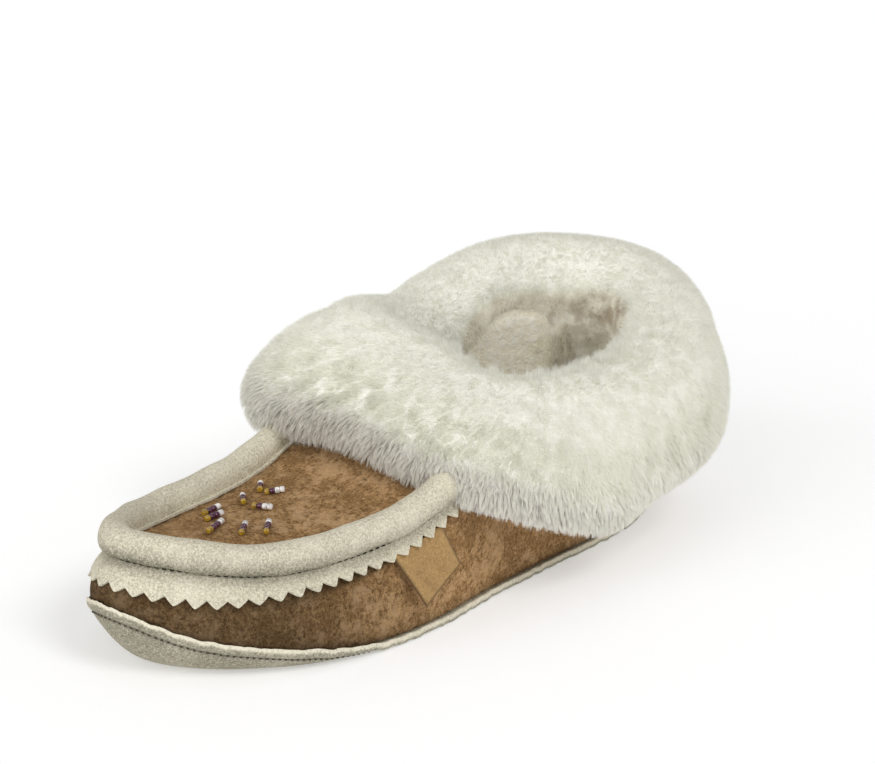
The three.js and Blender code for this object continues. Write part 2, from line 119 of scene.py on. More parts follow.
def spineAt(y):
    return np.clip(y, shape["toeSpine"], shape["heelSpine"])


def reachAt(turn):
    x, y = edgeAt(turn)
    return np.hypot(x, y - spineAt(y))


# Point at an inset from the sole's edge, towards the spine of the last
def planPoint(turn, inset, height):
    x, y = edgeAt(turn)
    share = inset / reachAt(turn)
    return np.stack(np.broadcast_arrays(x * (1 - share), y + (spineAt(y) - y) * share, height), -1)


def soleTop(turn, inset):
    lip = smoothAt(soleTable, "lip", alongAt(turn))
    curl = smoothAt(soleTable, "curl", alongAt(turn))
    thick = shape["soleThick"]
    return (lip - thick) * np.clip(1 - inset / curl, 0, None) ** 2 + thick


def topInset(turn):
    return smoothAt(topTable, "inset", alongAt(turn))


def topHeight(turn):
    return bySide(topTable, turn)


def wallFoot(turn):
    return soleTop(turn, shape["footInset"]) + shape["seamGap"]


# Insets of the wall's curve at its foot, its belly and the top line
def wallInsets(turn):
    return shape["footInset"], shape["footInset"] - shape["wallBelly"], topInset(turn)


def wallInset(turn, rise):
    foot, belly, top = wallInsets(turn)
    return (1 - rise) ** 2 * foot + 2 * rise * (1 - rise) * belly + rise**2 * top


# Point on the wall: rise 0 at the sole and 1 at the top line, moved off the outer face
def wallPoint(turn, rise, off):
    foot = wallFoot(turn)
    climb = topHeight(turn) - foot
    a, b, c = wallInsets(turn)
    belly = shape["bellyHeight"]
    inset = wallInset(turn, rise)
    height = foot + climb * (2 * rise * (1 - rise) * belly + rise**2)
    run = 2 * (1 - rise) * (b - a) + 2 * rise * (c - b)
    steep = climb * (2 * (1 - rise) * belly + 2 * rise * (1 - belly))
    long = np.hypot(run, steep)
    return planPoint(turn, inset - off * steep / long, height + off * run / long)


def belowTop(turn, down, off):
    return wallPoint(turn, 1 - down / (topHeight(turn) - soleTop(turn, shape["footInset"])), off)


def unit(vectors):
    return vectors / np.linalg.norm(vectors, axis=-1)[..., None]


# The same angle between minus half a turn and half a turn
def wrapAngle(angle):
    return np.angle(np.exp(1j * angle))


# Smooth noise from plane waves, close to -1..1, the same on each run
def ripples(points, wavelength, seed, waves=28):
    rng = np.random.default_rng(seed)
    heading = unit(rng.normal(size=(waves, 3)))
    pitch = 2 * math.pi / (wavelength * rng.uniform(0.65, 1.5, waves))
    phase = rng.uniform(0, 2 * math.pi, waves)
    total = np.zeros(points.shape[:-1])
    for way, rate, start in zip(heading, pitch, phase):
        total += np.cos(points @ way * rate + start)
    return total / math.sqrt(waves)


def smoothStep(low, high, value):
    t = np.clip((value - low) / (high - low), 0, 1)
    return t * t * (3 - 2 * t)


# Value between the ends of a pair
def graded(pair, share):
    return pair[0] + (pair[1] - pair[0]) * share


# Soft trough with raised lips, or a ridge where depth is negative, along a line between two points
troughLook = {"ends": 0.06, "lip": 0.35, "lipAway": 1.9}


def trough(points, start, end, depth, width):
    line = end - start
    share = np.clip((points - start) @ line / (line @ line), 0, 1)
    away = np.linalg.norm(points - start - share[..., None] * line, axis=-1) / width
    fade = np.sin(np.clip(share, troughLook["ends"], 1 - troughLook["ends"]) * math.pi) ** 0.5
    lip = troughLook["lip"] * np.exp(-((away - troughLook["lipAway"]) ** 2))
    return -depth * fade * (np.exp(-(away**2)) - lip)


def gridFaces(rows, columns, closeRows=False, closeColumns=False):
    r = np.arange(rows if closeRows else rows - 1)[:, None]
    c = np.arange(columns if closeColumns else columns - 1)[None, :]
    nextR, nextC = (r + 1) % rows, (c + 1) % columns
    corners = (r * columns + c, r * columns + nextC, nextR * columns + nextC, nextR * columns + c)
    return np.stack(np.broadcast_arrays(*corners), -1).reshape(-1, 4)


# Mesh from points in millimetres, arrays of faces, and marks that its material reads at each point
def meshFrom(name, points, faces, marks=None):
    mesh = bpy.data.meshes.new(name)
    corners = np.concatenate([f.ravel() for f in faces])
    sizes = np.concatenate([np.full(len(f), f.shape[1]) for f in faces])
    mesh.vertices.add(len(points))
    mesh.vertices.foreach_set("co", (points * mm).astype(np.float32).ravel())
    mesh.loops.add(len(corners))
    mesh.loops.foreach_set("vertex_index", corners.astype(np.int32))
    mesh.polygons.add(len(sizes))
    mesh.polygons.foreach_set("loop_start", np.concatenate([[0], np.cumsum(sizes)[:-1]]).astype(np.int32))
    mesh.update(calc_edges=True)
    for key, values in (marks or {}).items():
        store = mesh.attributes.new(key, "FLOAT", "POINT")
        store.data.foreach_set("value", values.astype(np.float32).ravel())
    return mesh


mergeWithin = 0.01 * mm
flatWithin = 0.005 * mm


# Merge doubled points, drop flat faces, turn the faces outwards and shade smooth up to an angle
def closeMesh(mesh, sharpest=50):
    work = bmesh.new()
    work.from_mesh(mesh)
    bmesh.ops.remove_doubles(work, verts=work.verts, dist=mergeWithin)
    bmesh.ops.dissolve_degenerate(work, edges=work.edges, dist=flatWithin)
    bmesh.ops.recalc_face_normals(work, faces=work.faces)
    if work.calc_volume(signed=True) < 0:
        bmesh.ops.reverse_faces(work, faces=work.faces)
    work.to_mesh(mesh)
    work.free()
    mesh.shade_smooth()
    mesh.set_sharp_from_angle(angle=math.radians(sharpest))
    return mesh


# Closed shell round rings of points; the last ring meets the first, or both ends close on themselves
def ringMesh(name, rings, meets, sharpest=50, marks=None):
    rows, columns = rings.shape[:2]
    faces = [gridFaces(rows, columns, closeRows=meets, closeColumns=True)]
    return closeMesh(meshFrom(name, rings.reshape(-1, 3), faces, marks), sharpest)


# Closed shell of a sheet: each row runs over its outer face and back over its inner face
def sheetMesh(name, outer, inner, sharpest=50, marks=None):
    loops = np.concatenate([outer, inner[:, ::-1]], axis=1)
    bothSides = {key: np.concatenate([m, m[:, ::-1]], axis=1) for key, m in (marks or {}).items()}
    rows, columns = loops.shape[:2]
    faces = [gridFaces(rows, columns, closeColumns=True)]
    half = columns // 2
    k = np.arange(half - 1)
    cap = np.stack([k, k + 1, columns - 2 - k, columns - 1 - k], -1)
    faces += [cap, cap + (rows - 1) * columns]
    return closeMesh(meshFrom(name, loops.reshape(-1, 3), faces, bothSides), sharpest)


# Node trees: sockets of a shader as Python values, and one method that adds any node
class Wire:
    def __init__(self, board, socket):
        self.board = board
        self.socket = socket

    def __add__(self, other):
        return self.board.reckon("ADD", self, other)

    def __sub__(self, other):
        return self.board.reckon("SUBTRACT", self, other)

    def __rsub__(self, other):
        return self.board.reckon("SUBTRACT", other, self)

    def __mul__(self, other):
        return self.board.reckon("MULTIPLY", self, other)

    __rmul__ = __mul__


class Board:
    def add(self, kind, settings=None, sockets=None, out=0):
        node = self.tree.nodes.new(kind)
        for key, value in (settings or {}).items():
            setattr(node, key, value)
        for key, value in (sockets or {}).items():
            if isinstance(value, Wire):
                self.tree.links.new(value.socket, node.inputs[key])
            else:
                node.inputs[key].default_value = value
        return Wire(self, node.outputs[out]) if node.outputs else None

    def reckon(self, operation, first, second):
        return self.add("ShaderNodeMath", {"operation": operation}, {0: first, 1: second})


class Finish(Board):
    def __init__(self, name):
        self.material = bpy.data.materials.new(name)
        self.material.use_nodes = True
        self.tree = self.material.node_tree
        self.tree.nodes.clear()
        self.place = self.add("ShaderNodeTexCoord", out="Object")

    # Noise with features of the given size in millimetres
    def noise(self, size, detail=2.0, rough=0.5):
        sockets = {"Vector": self.place, "Scale": 1 / (size * mm), "Detail": detail, "Roughness": rough}
        return self.add("ShaderNodeTexNoise", {}, sockets, "Fac")

    def fit(self, value, low, high, start=0.0, end=1.0):
        sockets = {"Value": value, "From Min": low, "From Max": high, "To Min": start, "To Max": end}
        return self.add("ShaderNodeMapRange", {"clamp": True}, sockets)

    def blend(self, share, first, second, way="MIX"):
        sockets = {0: share, 6: first, 7: second}
        return self.add("ShaderNodeMix", {"data_type": "RGBA", "blend_type": way}, sockets, 2)

    def mark(self, name):
        return self.add("ShaderNodeAttribute", {"attribute_name": name}, {}, "Fac")

    def finish(self, color, roughness, height=None, depth=0.2, strength=1.0, through=None, **constants):
        sockets = {"Base Color": color, "Roughness": roughness}
        sockets.update({key.replace("_", " "): value for key, value in constants.items()})
        if height is not None:
            bump = {"Height": height, "Distance": depth * mm, "Strength": strength}
            sockets["Normal"] = self.add("ShaderNodeBump", {}, bump)
        shader = self.add("ShaderNodeBsdfPrincipled", {}, sockets)
        if through:
            glow = self.add("ShaderNodeBsdfTranslucent", {}, {"Color": through["color"]})
            shader = self.add("ShaderNodeMixShader", {}, {0: through["share"], 1: shader, 2: glow})
        self.add("ShaderNodeOutputMaterial", {}, {"Surface": shader})
        return self.material


def rgb(red, green, blue):
    return (red, green, blue, 1.0)


creamLook = {
    "light": rgb(0.8, 0.745, 0.59),
    "dark": rgb(0.45, 0.415, 0.315),
    "rub": rgb(0.82, 0.77, 0.62),
    "raw": rgb(0.8, 0.75, 0.6),
    # painted shade in the stitch groove
    "grooveShade": rgb(0.09, 0.08, 0.055),
    # colour of painted shade
    "paintedShade": rgb(0.165, 0.155, 0.112),
}


def creamSuede():
    f = Finish("cream suede")
    patches = f.noise(14, detail=3)
    pebbles = f.noise(0.85, detail=3, rough=0.6)
    nap = f.noise(0.45, detail=1)
    speckle = f.fit(0.6 * pebbles + 0.4 * nap, 0.38, 0.62)
    color = f.blend(speckle, creamLook["dark"], creamLook["light"])
    color = f.blend(f.fit(patches, 0.45, 0.75, 0, 0.5), color, creamLook["rub"])
    # Painted shade where the mark asks for it, broken up by the suede's patches and speckle
    paintedShadeShare = f.mark("paintedShade") * f.fit(0.5 * patches + 0.5 * speckle, 0.3, 0.7, 1.2, 0.7)
    color = f.blend(paintedShadeShare, color, creamLook["paintedShade"])
    color = f.blend(f.mark("raw") * f.fit(pebbles, 0.35, 0.6, 0.3, 0.9), color, creamLook["raw"])
    # Painted shade in the stitch groove
    color = f.blend(f.mark("grooveShade") * 0.6, color, creamLook["grooveShade"])
    height = pebbles + 0.5 * nap
    rough = f.fit(pebbles, 0.3, 0.7, 0.98, 0.88)
    return f.finish(color, rough, height, depth=0.4, strength=0.9, Specular_IOR_Level=0.12)


brownLook = {
    "light": rgb(0.56, 0.34, 0.155),
    "middle": rgb(0.235, 0.129, 0.051),
    "dark": rgb(0.1, 0.052, 0.019),
    "rub": rgb(0.58, 0.375, 0.2),
    "shade": rgb(0.17, 0.18, 0.2),  # multiplies the colour
}


def brownSuede():
    f = Finish("brown suede")
    clouds = f.noise(20, detail=3, rough=0.55)
    brushed = f.noise(4.5, detail=4, rough=0.7)
    grain = f.noise(1.25, detail=4, rough=0.75)
    nap = f.noise(0.5, detail=1)
    speckle = f.fit(0.7 * grain + 0.3 * nap, 0.38, 0.62)
    color = f.blend(speckle, brownLook["dark"], brownLook["light"])
    tone = f.fit(0.45 * clouds + 0.55 * brushed, 0.4, 0.6)
    color = f.blend(f.fit(tone, 0.0, 0.6, 0.7, 0.0), color, brownLook["middle"])
    color = f.blend(f.fit(tone, 0.5, 1.0, 0.0, 0.65), color, brownLook["rub"])
    color = f.blend(f.mark("shade"), color, brownLook["shade"], "MULTIPLY")
    height = grain + 0.4 * nap + 0.8 * brushed
    rough = f.fit(grain, 0.3, 0.7, 1.0, 0.88)
    return f.finish(color, rough, height, depth=0.35, strength=0.8, Specular_IOR_Level=0.08)


tanLook = {"light": rgb(0.48, 0.305, 0.125), "dark": rgb(0.27, 0.16, 0.06), "edge": rgb(0.1, 0.055, 0.025)}


def tanLeather():
    f = Finish("tan leather")
    clouds = f.noise(5, detail=4, rough=0.6)
    grain = f.noise(0.7, detail=4, rough=0.65)
    tone = f.fit(0.35 * clouds + 0.65 * grain, 0.36, 0.62)
    color = f.blend(tone, tanLook["dark"], tanLook["light"])
    color = f.blend(f.mark("edge") * 0.85, color, tanLook["edge"])
    rough = f.fit(clouds, 0.3, 0.7, 0.6, 0.75)
    return f.finish(color, rough, grain, depth=0.15, strength=0.8, Specular_IOR_Level=0.3)


fleeceLook = {
    "light": rgb(0.985, 0.955, 0.855),
    "middle": rgb(0.95, 0.885, 0.72),
    "dark": rgb(0.36, 0.26, 0.15),
}
woolLook = {
    "light": rgb(0.92, 0.915, 0.85),
    "dark": rgb(0.84, 0.835, 0.77),
    # skin at the hem: its own grey and painted shade between the tufts
    "hem": rgb(0.45, 0.415, 0.4),
    "through": {"color": rgb(0.96, 0.955, 0.89), "share": 0.5},
}


def furWool():
    f = Finish("sheepskin wool")
    color = f.add("ShaderNodeAttribute", {"attribute_name": "wool"}, {}, "Color")
    return f.finish(color, 0.9, through=woolLook["through"], Specular_IOR_Level=0.1)


def furSkin():
    f = Finish("sheepskin under the wool")
    tufts = f.noise(2.4, detail=3, rough=0.6)
    fine = f.noise(0.5, detail=2)
    clumps = f.noise(7, detail=3, rough=0.6)
    color = f.blend(f.fit(tufts, 0.35, 0.65), woolLook["dark"], woolLook["light"])
    # Skin at the hem: its grey and painted shade between the tufts
    color = f.blend(f.mark("hem"), color, woolLook["hem"])
    nest = f.blend(f.fit(clumps, 0.42, 0.58, 0, 0.6), fleeceLook["light"], fleeceLook["dark"])
    color = f.blend(f.mark("nest"), color, nest)
    height = tufts + 0.4 * fine
    return f.finish(color, 0.95, height, depth=0.6, strength=0.7, Specular_IOR_Level=0.1)


def fleece():
    f = Finish("beige fleece")
    clumps = f.noise(8, detail=3, rough=0.6)
    tufts = f.noise(2.6, detail=3, rough=0.6)
    fibre = f.noise(0.6, detail=2, rough=0.6)
    color = f.blend(f.fit(tufts, 0.35, 0.65), fleeceLook["middle"], fleeceLook["light"])
    color = f.blend(f.fit(clumps, 0.42, 0.62) * f.mark("dark"), color, fleeceLook["dark"])
    height = tufts + 0.35 * fibre
    return f.finish(color, 0.97, height, depth=1.0, strength=0.8, Specular_IOR_Level=0.1)


def glass(name, color, rough=0.12):
    f = Finish(name)
    streak = f.noise(1.2, detail=1)
    deep = rgb(*(0.55 * part for part in color[:3]))
    color = f.blend(f.fit(streak, 0.35, 0.65), deep, color)
    return f.finish(color, rough, Specular_IOR_Level=0.6, Coat_Weight=0.6, Coat_Roughness=0.06)


def thread(name, color):
    f = Finish(name)
    twist = f.noise(0.5, detail=2)
    dull = rgb(*(0.6 * part for part in color[:3]))
    color = f.blend(twist, dull, color)
    return f.finish(color, 0.8, twist, depth=0.1, strength=0.6, Specular_IOR_Level=0.2)


cream = creamSuede()
brown = brownSuede()
tan = tanLeather()
wool = furWool()
woolSkin = furSkin()
beige = fleece()
print("materials made")


def addPiece(name, mesh, material, slot, *nodes):
    piece = bpy.data.objects.new(name, mesh)
    bpy.context.scene.collection.objects.link(piece)
    if material:
        mesh.materials.append(material)
    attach(piece, "root")
    if nodes:
        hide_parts(*nodes)
    return piece


def around(count):
    return np.linspace(0, 2 * math.pi, count, endpoint=False)


# Outsole: cream suede turned up round the toe, with a raw upper edge
soleLook = {
    "steps": 540,
    "lipRagged": 0.35,
    "lipFade": 1.2,
    "seamLip": (3.0, 7.0),  # the seam shows where the edge is turned up this high
    "stitchInset": 1.5,
    "stitchWidth": 0.45,
    "stitchGroove": 0.4,
    "grooveRise": 0.3,
    "sideRings": 34,
    "sidePower": 2.2,  # rings lie closer together towards the edge
    "topInsets": (0.1, 0.5, 1.0, 2.0, 4.0),
    "rawFrom": (0.2, 0.7),
    "rawWide": 0.8,
    "edgeRound": 0.2,
    "edgeRings": np.linspace(0.15, 0.9, 6),  # shares of the thickness
    # painted shade: the whole sole darker, all but its raw edge
    "paintedShade": 0.68,
}


def makeSole():
    turn = around(soleLook["steps"])
    curl = smoothAt(soleTable, "curl", alongAt(turn))
    reach = reachAt(turn)
    thick = shape["soleThick"]
    lipPlace = planPoint(turn, 0, 0)
    ragged = 0.7 * ripples(lipPlace, 6, seed=3) + 0.3 * ripples(lipPlace, 1.8, seed=4)
    lipNoise = soleLook["lipRagged"] * ragged
    turned = smoothStep(*soleLook["seamLip"], smoothAt(soleTable, "lip", alongAt(turn)))
    rings, raw, grooveShade = [], [], []

    def notch(inset):
        return turned * np.exp(-(((inset - soleLook["stitchInset"]) / soleLook["stitchWidth"]) ** 2))

    def ring(inset, height, rawShare=0.0, grooveShadeShare=0.0):
        rings.append(planPoint(turn, inset, height))
        raw.append(rawShare + 0 * turn)
        grooveShade.append(grooveShadeShare + 0 * turn)

    # Underside, the side that is turned up, the raw edge and the upper face
    for share in (1, 0.66, 0.33):
        inset = graded((curl, reach), share)
        ring(inset, soleTop(turn, inset) - thick)
    for share in np.linspace(1, 0, soleLook["sideRings"]) ** soleLook["sidePower"]:
        inset = share * curl
        near = np.exp(-inset / soleLook["lipFade"])
        sunk = soleLook["stitchGroove"] * notch(inset)
        height = soleTop(turn, inset) - thick + soleLook["grooveRise"] * sunk + near * lipNoise
        ring(inset + sunk, height, grooveShadeShare=notch(inset))
    for share in soleLook["edgeRings"]:
        bulge = soleLook["edgeRound"] * math.sin(share * math.pi)
        height = soleTop(turn, 0) - thick + share * thick + lipNoise
        ring(-bulge + 0 * turn, height, float(smoothStep(*soleLook["rawFrom"], share)))
    for inset in soleLook["topInsets"]:
        near = math.exp(-inset / soleLook["lipFade"])
        height = soleTop(turn, inset) + near * lipNoise
        ring(inset + 0 * turn, height, 1.0 if inset < soleLook["rawWide"] else 0.0)
    for share in (0.33, 0.66, 1):
        inset = graded((soleLook["topInsets"][-1], reach), share)
        ring(inset, soleTop(turn, inset))
    raw = np.array(raw)
    marks = {"raw": raw, "grooveShade": np.array(grooveShade), "paintedShade": soleLook["paintedShade"] * (1 - raw)}
    return ringMesh("sole", np.array(rings), meets=False, sharpest=60, marks=marks)


addPiece("sole_suede", makeSole(), cream, "suede_cream", "outsole")
print("sole made")


# Zigzag strip under the roll: its form is needed here, because it shades the wall
trimLook = {
    "seed": 31,
    "thick": 1.0,
    "toothDepth": 2.3,
    "uneven": 0.12,
    "unevenRange": (0.8, 1.15),
    "teeth": 49,
    "end": math.radians(92),
    "tuck": 1.4,
    "flare": (0.6, 2.4),  # on the inner and the outer side
    "flarePower": 1.5,
    "stepsPerTooth": 10,
    "rows": 10,
    "tipRound": 0.1,
    "wave": 0.3,
    "waveFrom": (0, 6),
    # painted shade on the strip's top, where it runs under the roll
    "paintedShade": 0.5,
    "trimShadeFrom": (3.5, 0.0),
}


def trimDrop(turn):
    return smoothAt(trimTable, "drop", alongAt(turn))


def trimOff(turn, down):
    flare = graded(trimLook["flare"], np.clip(np.sin(turn), 0, None) ** 2)
    return shape["seamGap"] + flare * np.clip(down / trimDrop(turn), 0, None) ** trimLook["flarePower"]


# Upper: the brown wall with its creases, open above and underneath
wallLook = {
    "steps": 540,
    "rows": 34,
    "soft": 0.3,
    "seamFade": (0.1, 0.08),  # both seams keep their line
    "footFade": 2.5,
    "footShade": 0.45,
    "stripShade": 0.8,
    "stripFade": (-1.6, 1.2),
    "toeShade": 0.8,
    "toeFade": (0.1, 0.75),
    "darkest": 0.85,
    # Turn and rise of both ends, depth and width
    "creases": [
        (67.9, 0.97, 66.6, 0.42, -0.45, 0.9),
        (82.0, 0.62, 87.5, 0.26, 0.5, 1.0),
        (84.0, 0.60, 89.5, 0.30, 0.45, 0.9),
        (80.5, 0.50, 85.0, 0.18, 0.35, 0.9),
        (52.0, 0.85, 58.0, 0.15, 0.5, 5.0),
        (30.0, 0.55, 44.0, 0.40, 0.5, 4.0),
        (96.0, 0.55, 104.0, 0.08, 0.7, 4.0),
        (112.0, 0.50, 118.0, 0.08, 0.6, 4.5),
        (-66.0, 0.90, -72.0, 0.20, 0.6, 4.0),
        (-84.0, 0.55, -92.0, 0.12, 0.6, 3.5),
        (-104.0, 0.45, -112.0, 0.10, 0.5, 4.0),
        (172.0, 0.30, 196.0, 0.34, 0.5, 3.5),
    ],
}


def wallPlace(turn, rise):
    return wallPoint(np.radians(np.array([turn])), rise, 0)[0]


def makeWall():
    turn = around(wallLook["steps"])
    rises = np.linspace(0, 1, wallLook["rows"])
    bare = np.array([wallPoint(turn, rise, 0) for rise in rises])
    relief = wallLook["soft"] * ripples(bare, 22, seed=5)
    for turn1, rise1, turn2, rise2, depth, width in wallLook["creases"]:
        relief += trough(bare, wallPlace(turn1, rise1), wallPlace(turn2, rise2), depth, width)
    nearFoot, nearTop = wallLook["seamFade"]
    inside = smoothStep(0, nearFoot, rises) * smoothStep(1, 1 - nearTop, rises)
    outer = np.array([wallPoint(turn, r, m * d) for r, m, d in zip(rises, inside, relief)])
    inner = np.array([wallPoint(turn, r, -shape["wallThick"]) for r in rises[::-3]])
    height = wallFoot(turn)[None, :] + rises[:, None] * (topHeight(turn) - wallFoot(turn))[None, :]
    foot = np.exp(-(height - wallFoot(turn)) / wallLook["footFade"])
    hidden = topHeight(turn) - trimDrop(turn)  # the strip's teeth come down to here
    strip = smoothStep(*wallLook["stripFade"], height - hidden) * (np.cos(turn) > np.cos(trimLook["end"]))
    toe = smoothStep(*wallLook["toeFade"], np.cos(turn))
    dark = wallLook["footShade"] * foot + wallLook["stripShade"] * strip + wallLook["toeShade"] * toe
    dark = np.clip(dark, 0, wallLook["darkest"])
    shade = np.concatenate([dark, dark[::-3]])
    rings = np.concatenate([outer, inner])
    return ringMesh("wall", rings, meets=True, sharpest=60, marks={"shade": shade})


addPiece("upper_suede", makeWall(), brown, "suede_brown", "upper")
print("wall made")


# Padded roll over the apron seam, and the flat edge of it that lies on the apron
rollLook = {
    "radius": 5.5,
    "inward": 2.0,
    "upward": 5.9,
    "end": math.radians(97),
    "steps": 420,
    "sides": 36,
    "lumps": 0.22,
    # painted shade on the roll's lower outer side, most at the toe
    "paintedShade": 0.9,
    "rollShadeLow": (0.8, -0.8),
    "rollShadeOut": (0.5, 0.0),
    "rollShadeToe": (0.2, 0.9),
    "rollShadeSides": 0.6,
    "seamAngle": math.radians(232),
    "seamPinch": 0.35,
    "seamWidth": 0.28,
    "edgeWidth": (0.8, 2.3),
    "edgeWidens": (-0.1, -0.7),
    "edgeWaver": 0.18,
    "edgeThick": 1.1,
    "edgeRound": 0.25,
    "edgeLift": 0.25,
    "edgeTuck": 0.8,
}
apronLook = {
    "front": math.radians(8),
    "seat": math.radians(-25),
    "crownPower": 2.2,
    "settleSteps": 4,
    "settleTurns": (0.05, 1.8),
    "leastSlope": 0.2,
    "rows": 130,
    "columns": 84,
    "soft": 0.18,
    "puckers": 0.22,
    "puckerLong": 6.5,
    "puckerFrom": (0.62, 0.95),
    "edgeKeeps": (1.0, 0.96),  # the sewn edge keeps its line
    "edgeShade": 0.5,
    "edgeShadeFrom": (0.72, 1.0),
    "furShade": 0.45,
    "furShadeFrom": (-32, -14),
    "shade": 0.08,
    # Both ends in plan, depth and width
    "creases": [
        (-20.0, -24.0, 24.0, -31.0, 0.45, 5.0),
        (-16.0, -58.0, 20.0, -50.0, 0.3, 6.0),
        (10.0, -90.0, 24.0, -62.0, 0.35, 4.0),
    ],
}


def rollPoint(turn, angle, radius):
    inset = topInset(turn) + rollLook["inward"] + radius * np.cos(angle)
    return planPoint(turn, inset, topHeight(turn) + rollLook["upward"] + radius * np.sin(angle))


def makeRoll():
    turn = np.linspace(-rollLook["end"], rollLook["end"], rollLook["steps"])[:, None]
    angle = around(rollLook["sides"])[None, :]
    bare = rollPoint(turn, angle, rollLook["radius"])
    away = wrapAngle(angle - rollLook["seamAngle"])
    pinch = rollLook["seamPinch"] * np.exp(-((away / rollLook["seamWidth"]) ** 2))
    radius = rollLook["radius"] + rollLook["lumps"] * ripples(bare, 17, seed=8) - pinch
    rings = rollPoint(turn, angle, radius)
    ends = rings[[0, -1]].mean(axis=1, keepdims=True).repeat(rollLook["sides"], axis=1)
    # Painted shade on the outer side, darker down to the seam, and most of it at the toe
    low = smoothStep(*rollLook["rollShadeLow"], np.sin(angle)) * smoothStep(*rollLook["rollShadeOut"], np.cos(angle))
    toe = graded((rollLook["rollShadeSides"], 1), smoothStep(*rollLook["rollShadeToe"], np.cos(turn)))
    paintedShade = rollLook["paintedShade"] * low * toe
    paintedShade = np.concatenate([paintedShade[:1], paintedShade, paintedShade[-1:]])
    rings = np.concatenate([ends[:1], rings, ends[1:]])
    return ringMesh("roll", rings, meets=False, sharpest=60, marks={"paintedShade": paintedShade})


# Point on the apron, across from -1 at the inner side to 1 at the outer side
def apronPoint(turn, across, raised=0.0):
    reach = rollLook["radius"] + shape["seamGap"]
    outer = rollPoint(turn, apronLook["seat"], reach)
    inner = rollPoint(-turn, apronLook["seat"], reach)
    share = (across + 1) / 2
    point = inner + (outer - inner) * share[..., None]
    crown = smoothAt(crownTable, "crown", alongAt(turn))
    point[..., 2] += crown * (1 - np.abs(across) ** apronLook["crownPower"]) + raised
    return point


# Rows near the toe bend forwards, so the turn is settled in a few steps
def apronHeight(x, y):
    turn = np.arccos(np.clip(-2 * y / shape["length"], -1, 1))
    for _ in range(apronLook["settleSteps"]):
        miss = y - apronPoint(turn, np.zeros_like(turn))[..., 1]
        slope = shape["length"] / 2 * np.maximum(np.sin(turn), apronLook["leastSlope"])
        turn = np.clip(turn + miss / slope, *apronLook["settleTurns"])
    inner = apronPoint(turn, -np.ones_like(turn))[..., 0]
    outer = apronPoint(turn, np.ones_like(turn))[..., 0]
    across = np.clip(2 * (x - inner) / (outer - inner) - 1, -1, 1)
    return apronPoint(turn, across)[..., 2]


def makeApron():
    turn = np.linspace(apronLook["front"], rollLook["end"], apronLook["rows"])[:, None]
    across = np.linspace(-1, 1, apronLook["columns"])[None, :]
    turn, across = np.broadcast_arrays(turn, across)
    bare = apronPoint(turn, across)
    relief = apronLook["soft"] * ripples(bare, 15, seed=12)
    for x1, y1, x2, y2, depth, width in apronLook["creases"]:
        relief += trough(bare[..., :2], np.array([x1, y1]), np.array([x2, y2]), depth, width)
    nearEdge = smoothStep(*apronLook["puckerFrom"], np.abs(across))
    relief += apronLook["puckers"] * nearEdge * np.sin(bare[..., 1] * 2 * math.pi / apronLook["puckerLong"])
    keep = smoothStep(*apronLook["edgeKeeps"], np.abs(across))
    outer = apronPoint(turn, across, relief * keep)
    inner = apronPoint(turn, across, -shape["apronThick"])
    shade = apronLook["edgeShade"] * smoothStep(*apronLook["edgeShadeFrom"], np.abs(across))
    underFur = smoothStep(*apronLook["furShadeFrom"], bare[..., 1])
    shade = np.maximum(shade, apronLook["furShade"] * underFur)
    shade = np.maximum(shade, apronLook["shade"])
    return sheetMesh("apron", outer, inner, sharpest=60, marks={"shade": shade})


# Flat strip of cream suede on the apron, against the roll
def makeRollEdge():
    turn = np.linspace(-rollLook["end"], rollLook["end"], rollLook["steps"])[:, None]
    share = np.linspace(0, 1, 8)[None, :]
    reach = rollLook["radius"] + shape["seamGap"]
    seat = topInset(turn) + rollLook["inward"] + reach * math.cos(apronLook["seat"])
    waver = rollLook["edgeWaver"] * ripples(rollPoint(turn, 0, reach), 9, seed=21)
    width = graded(rollLook["edgeWidth"], smoothStep(*rollLook["edgeWidens"], turn)) + waver
    inset = seat - rollLook["edgeTuck"] + share * width
    flat = planPoint(turn, inset, 0 * inset)
    flat[..., 2] = apronHeight(flat[..., 0], flat[..., 1]) + rollLook["edgeLift"]
    top = flat.copy()
    top[..., 2] += rollLook["edgeThick"] * (1 - rollLook["edgeRound"] * share**3)
    return sheetMesh("roll edge", top, flat, sharpest=60)


roll = addPiece("roll_suede", makeRoll(), cream, "suede_cream", "apron_roll")
addPiece("apron_suede", makeApron(), brown, "suede_brown", "apron")
addPiece("roll_edge", makeRollEdge(), cream, "suede_cream")
print("roll and apron made")


# Turns at even distances along the strip, so that all teeth are alike
def evenTurns(count):
    fine = np.linspace(-trimLook["end"], trimLook["end"], 400)
    steps = np.linalg.norm(np.diff(belowTop(fine, 0, 0), axis=0), axis=1)
    run = np.concatenate([[0], np.cumsum(steps)])
    return np.interp(np.linspace(0, run[-1], count), run, fine)


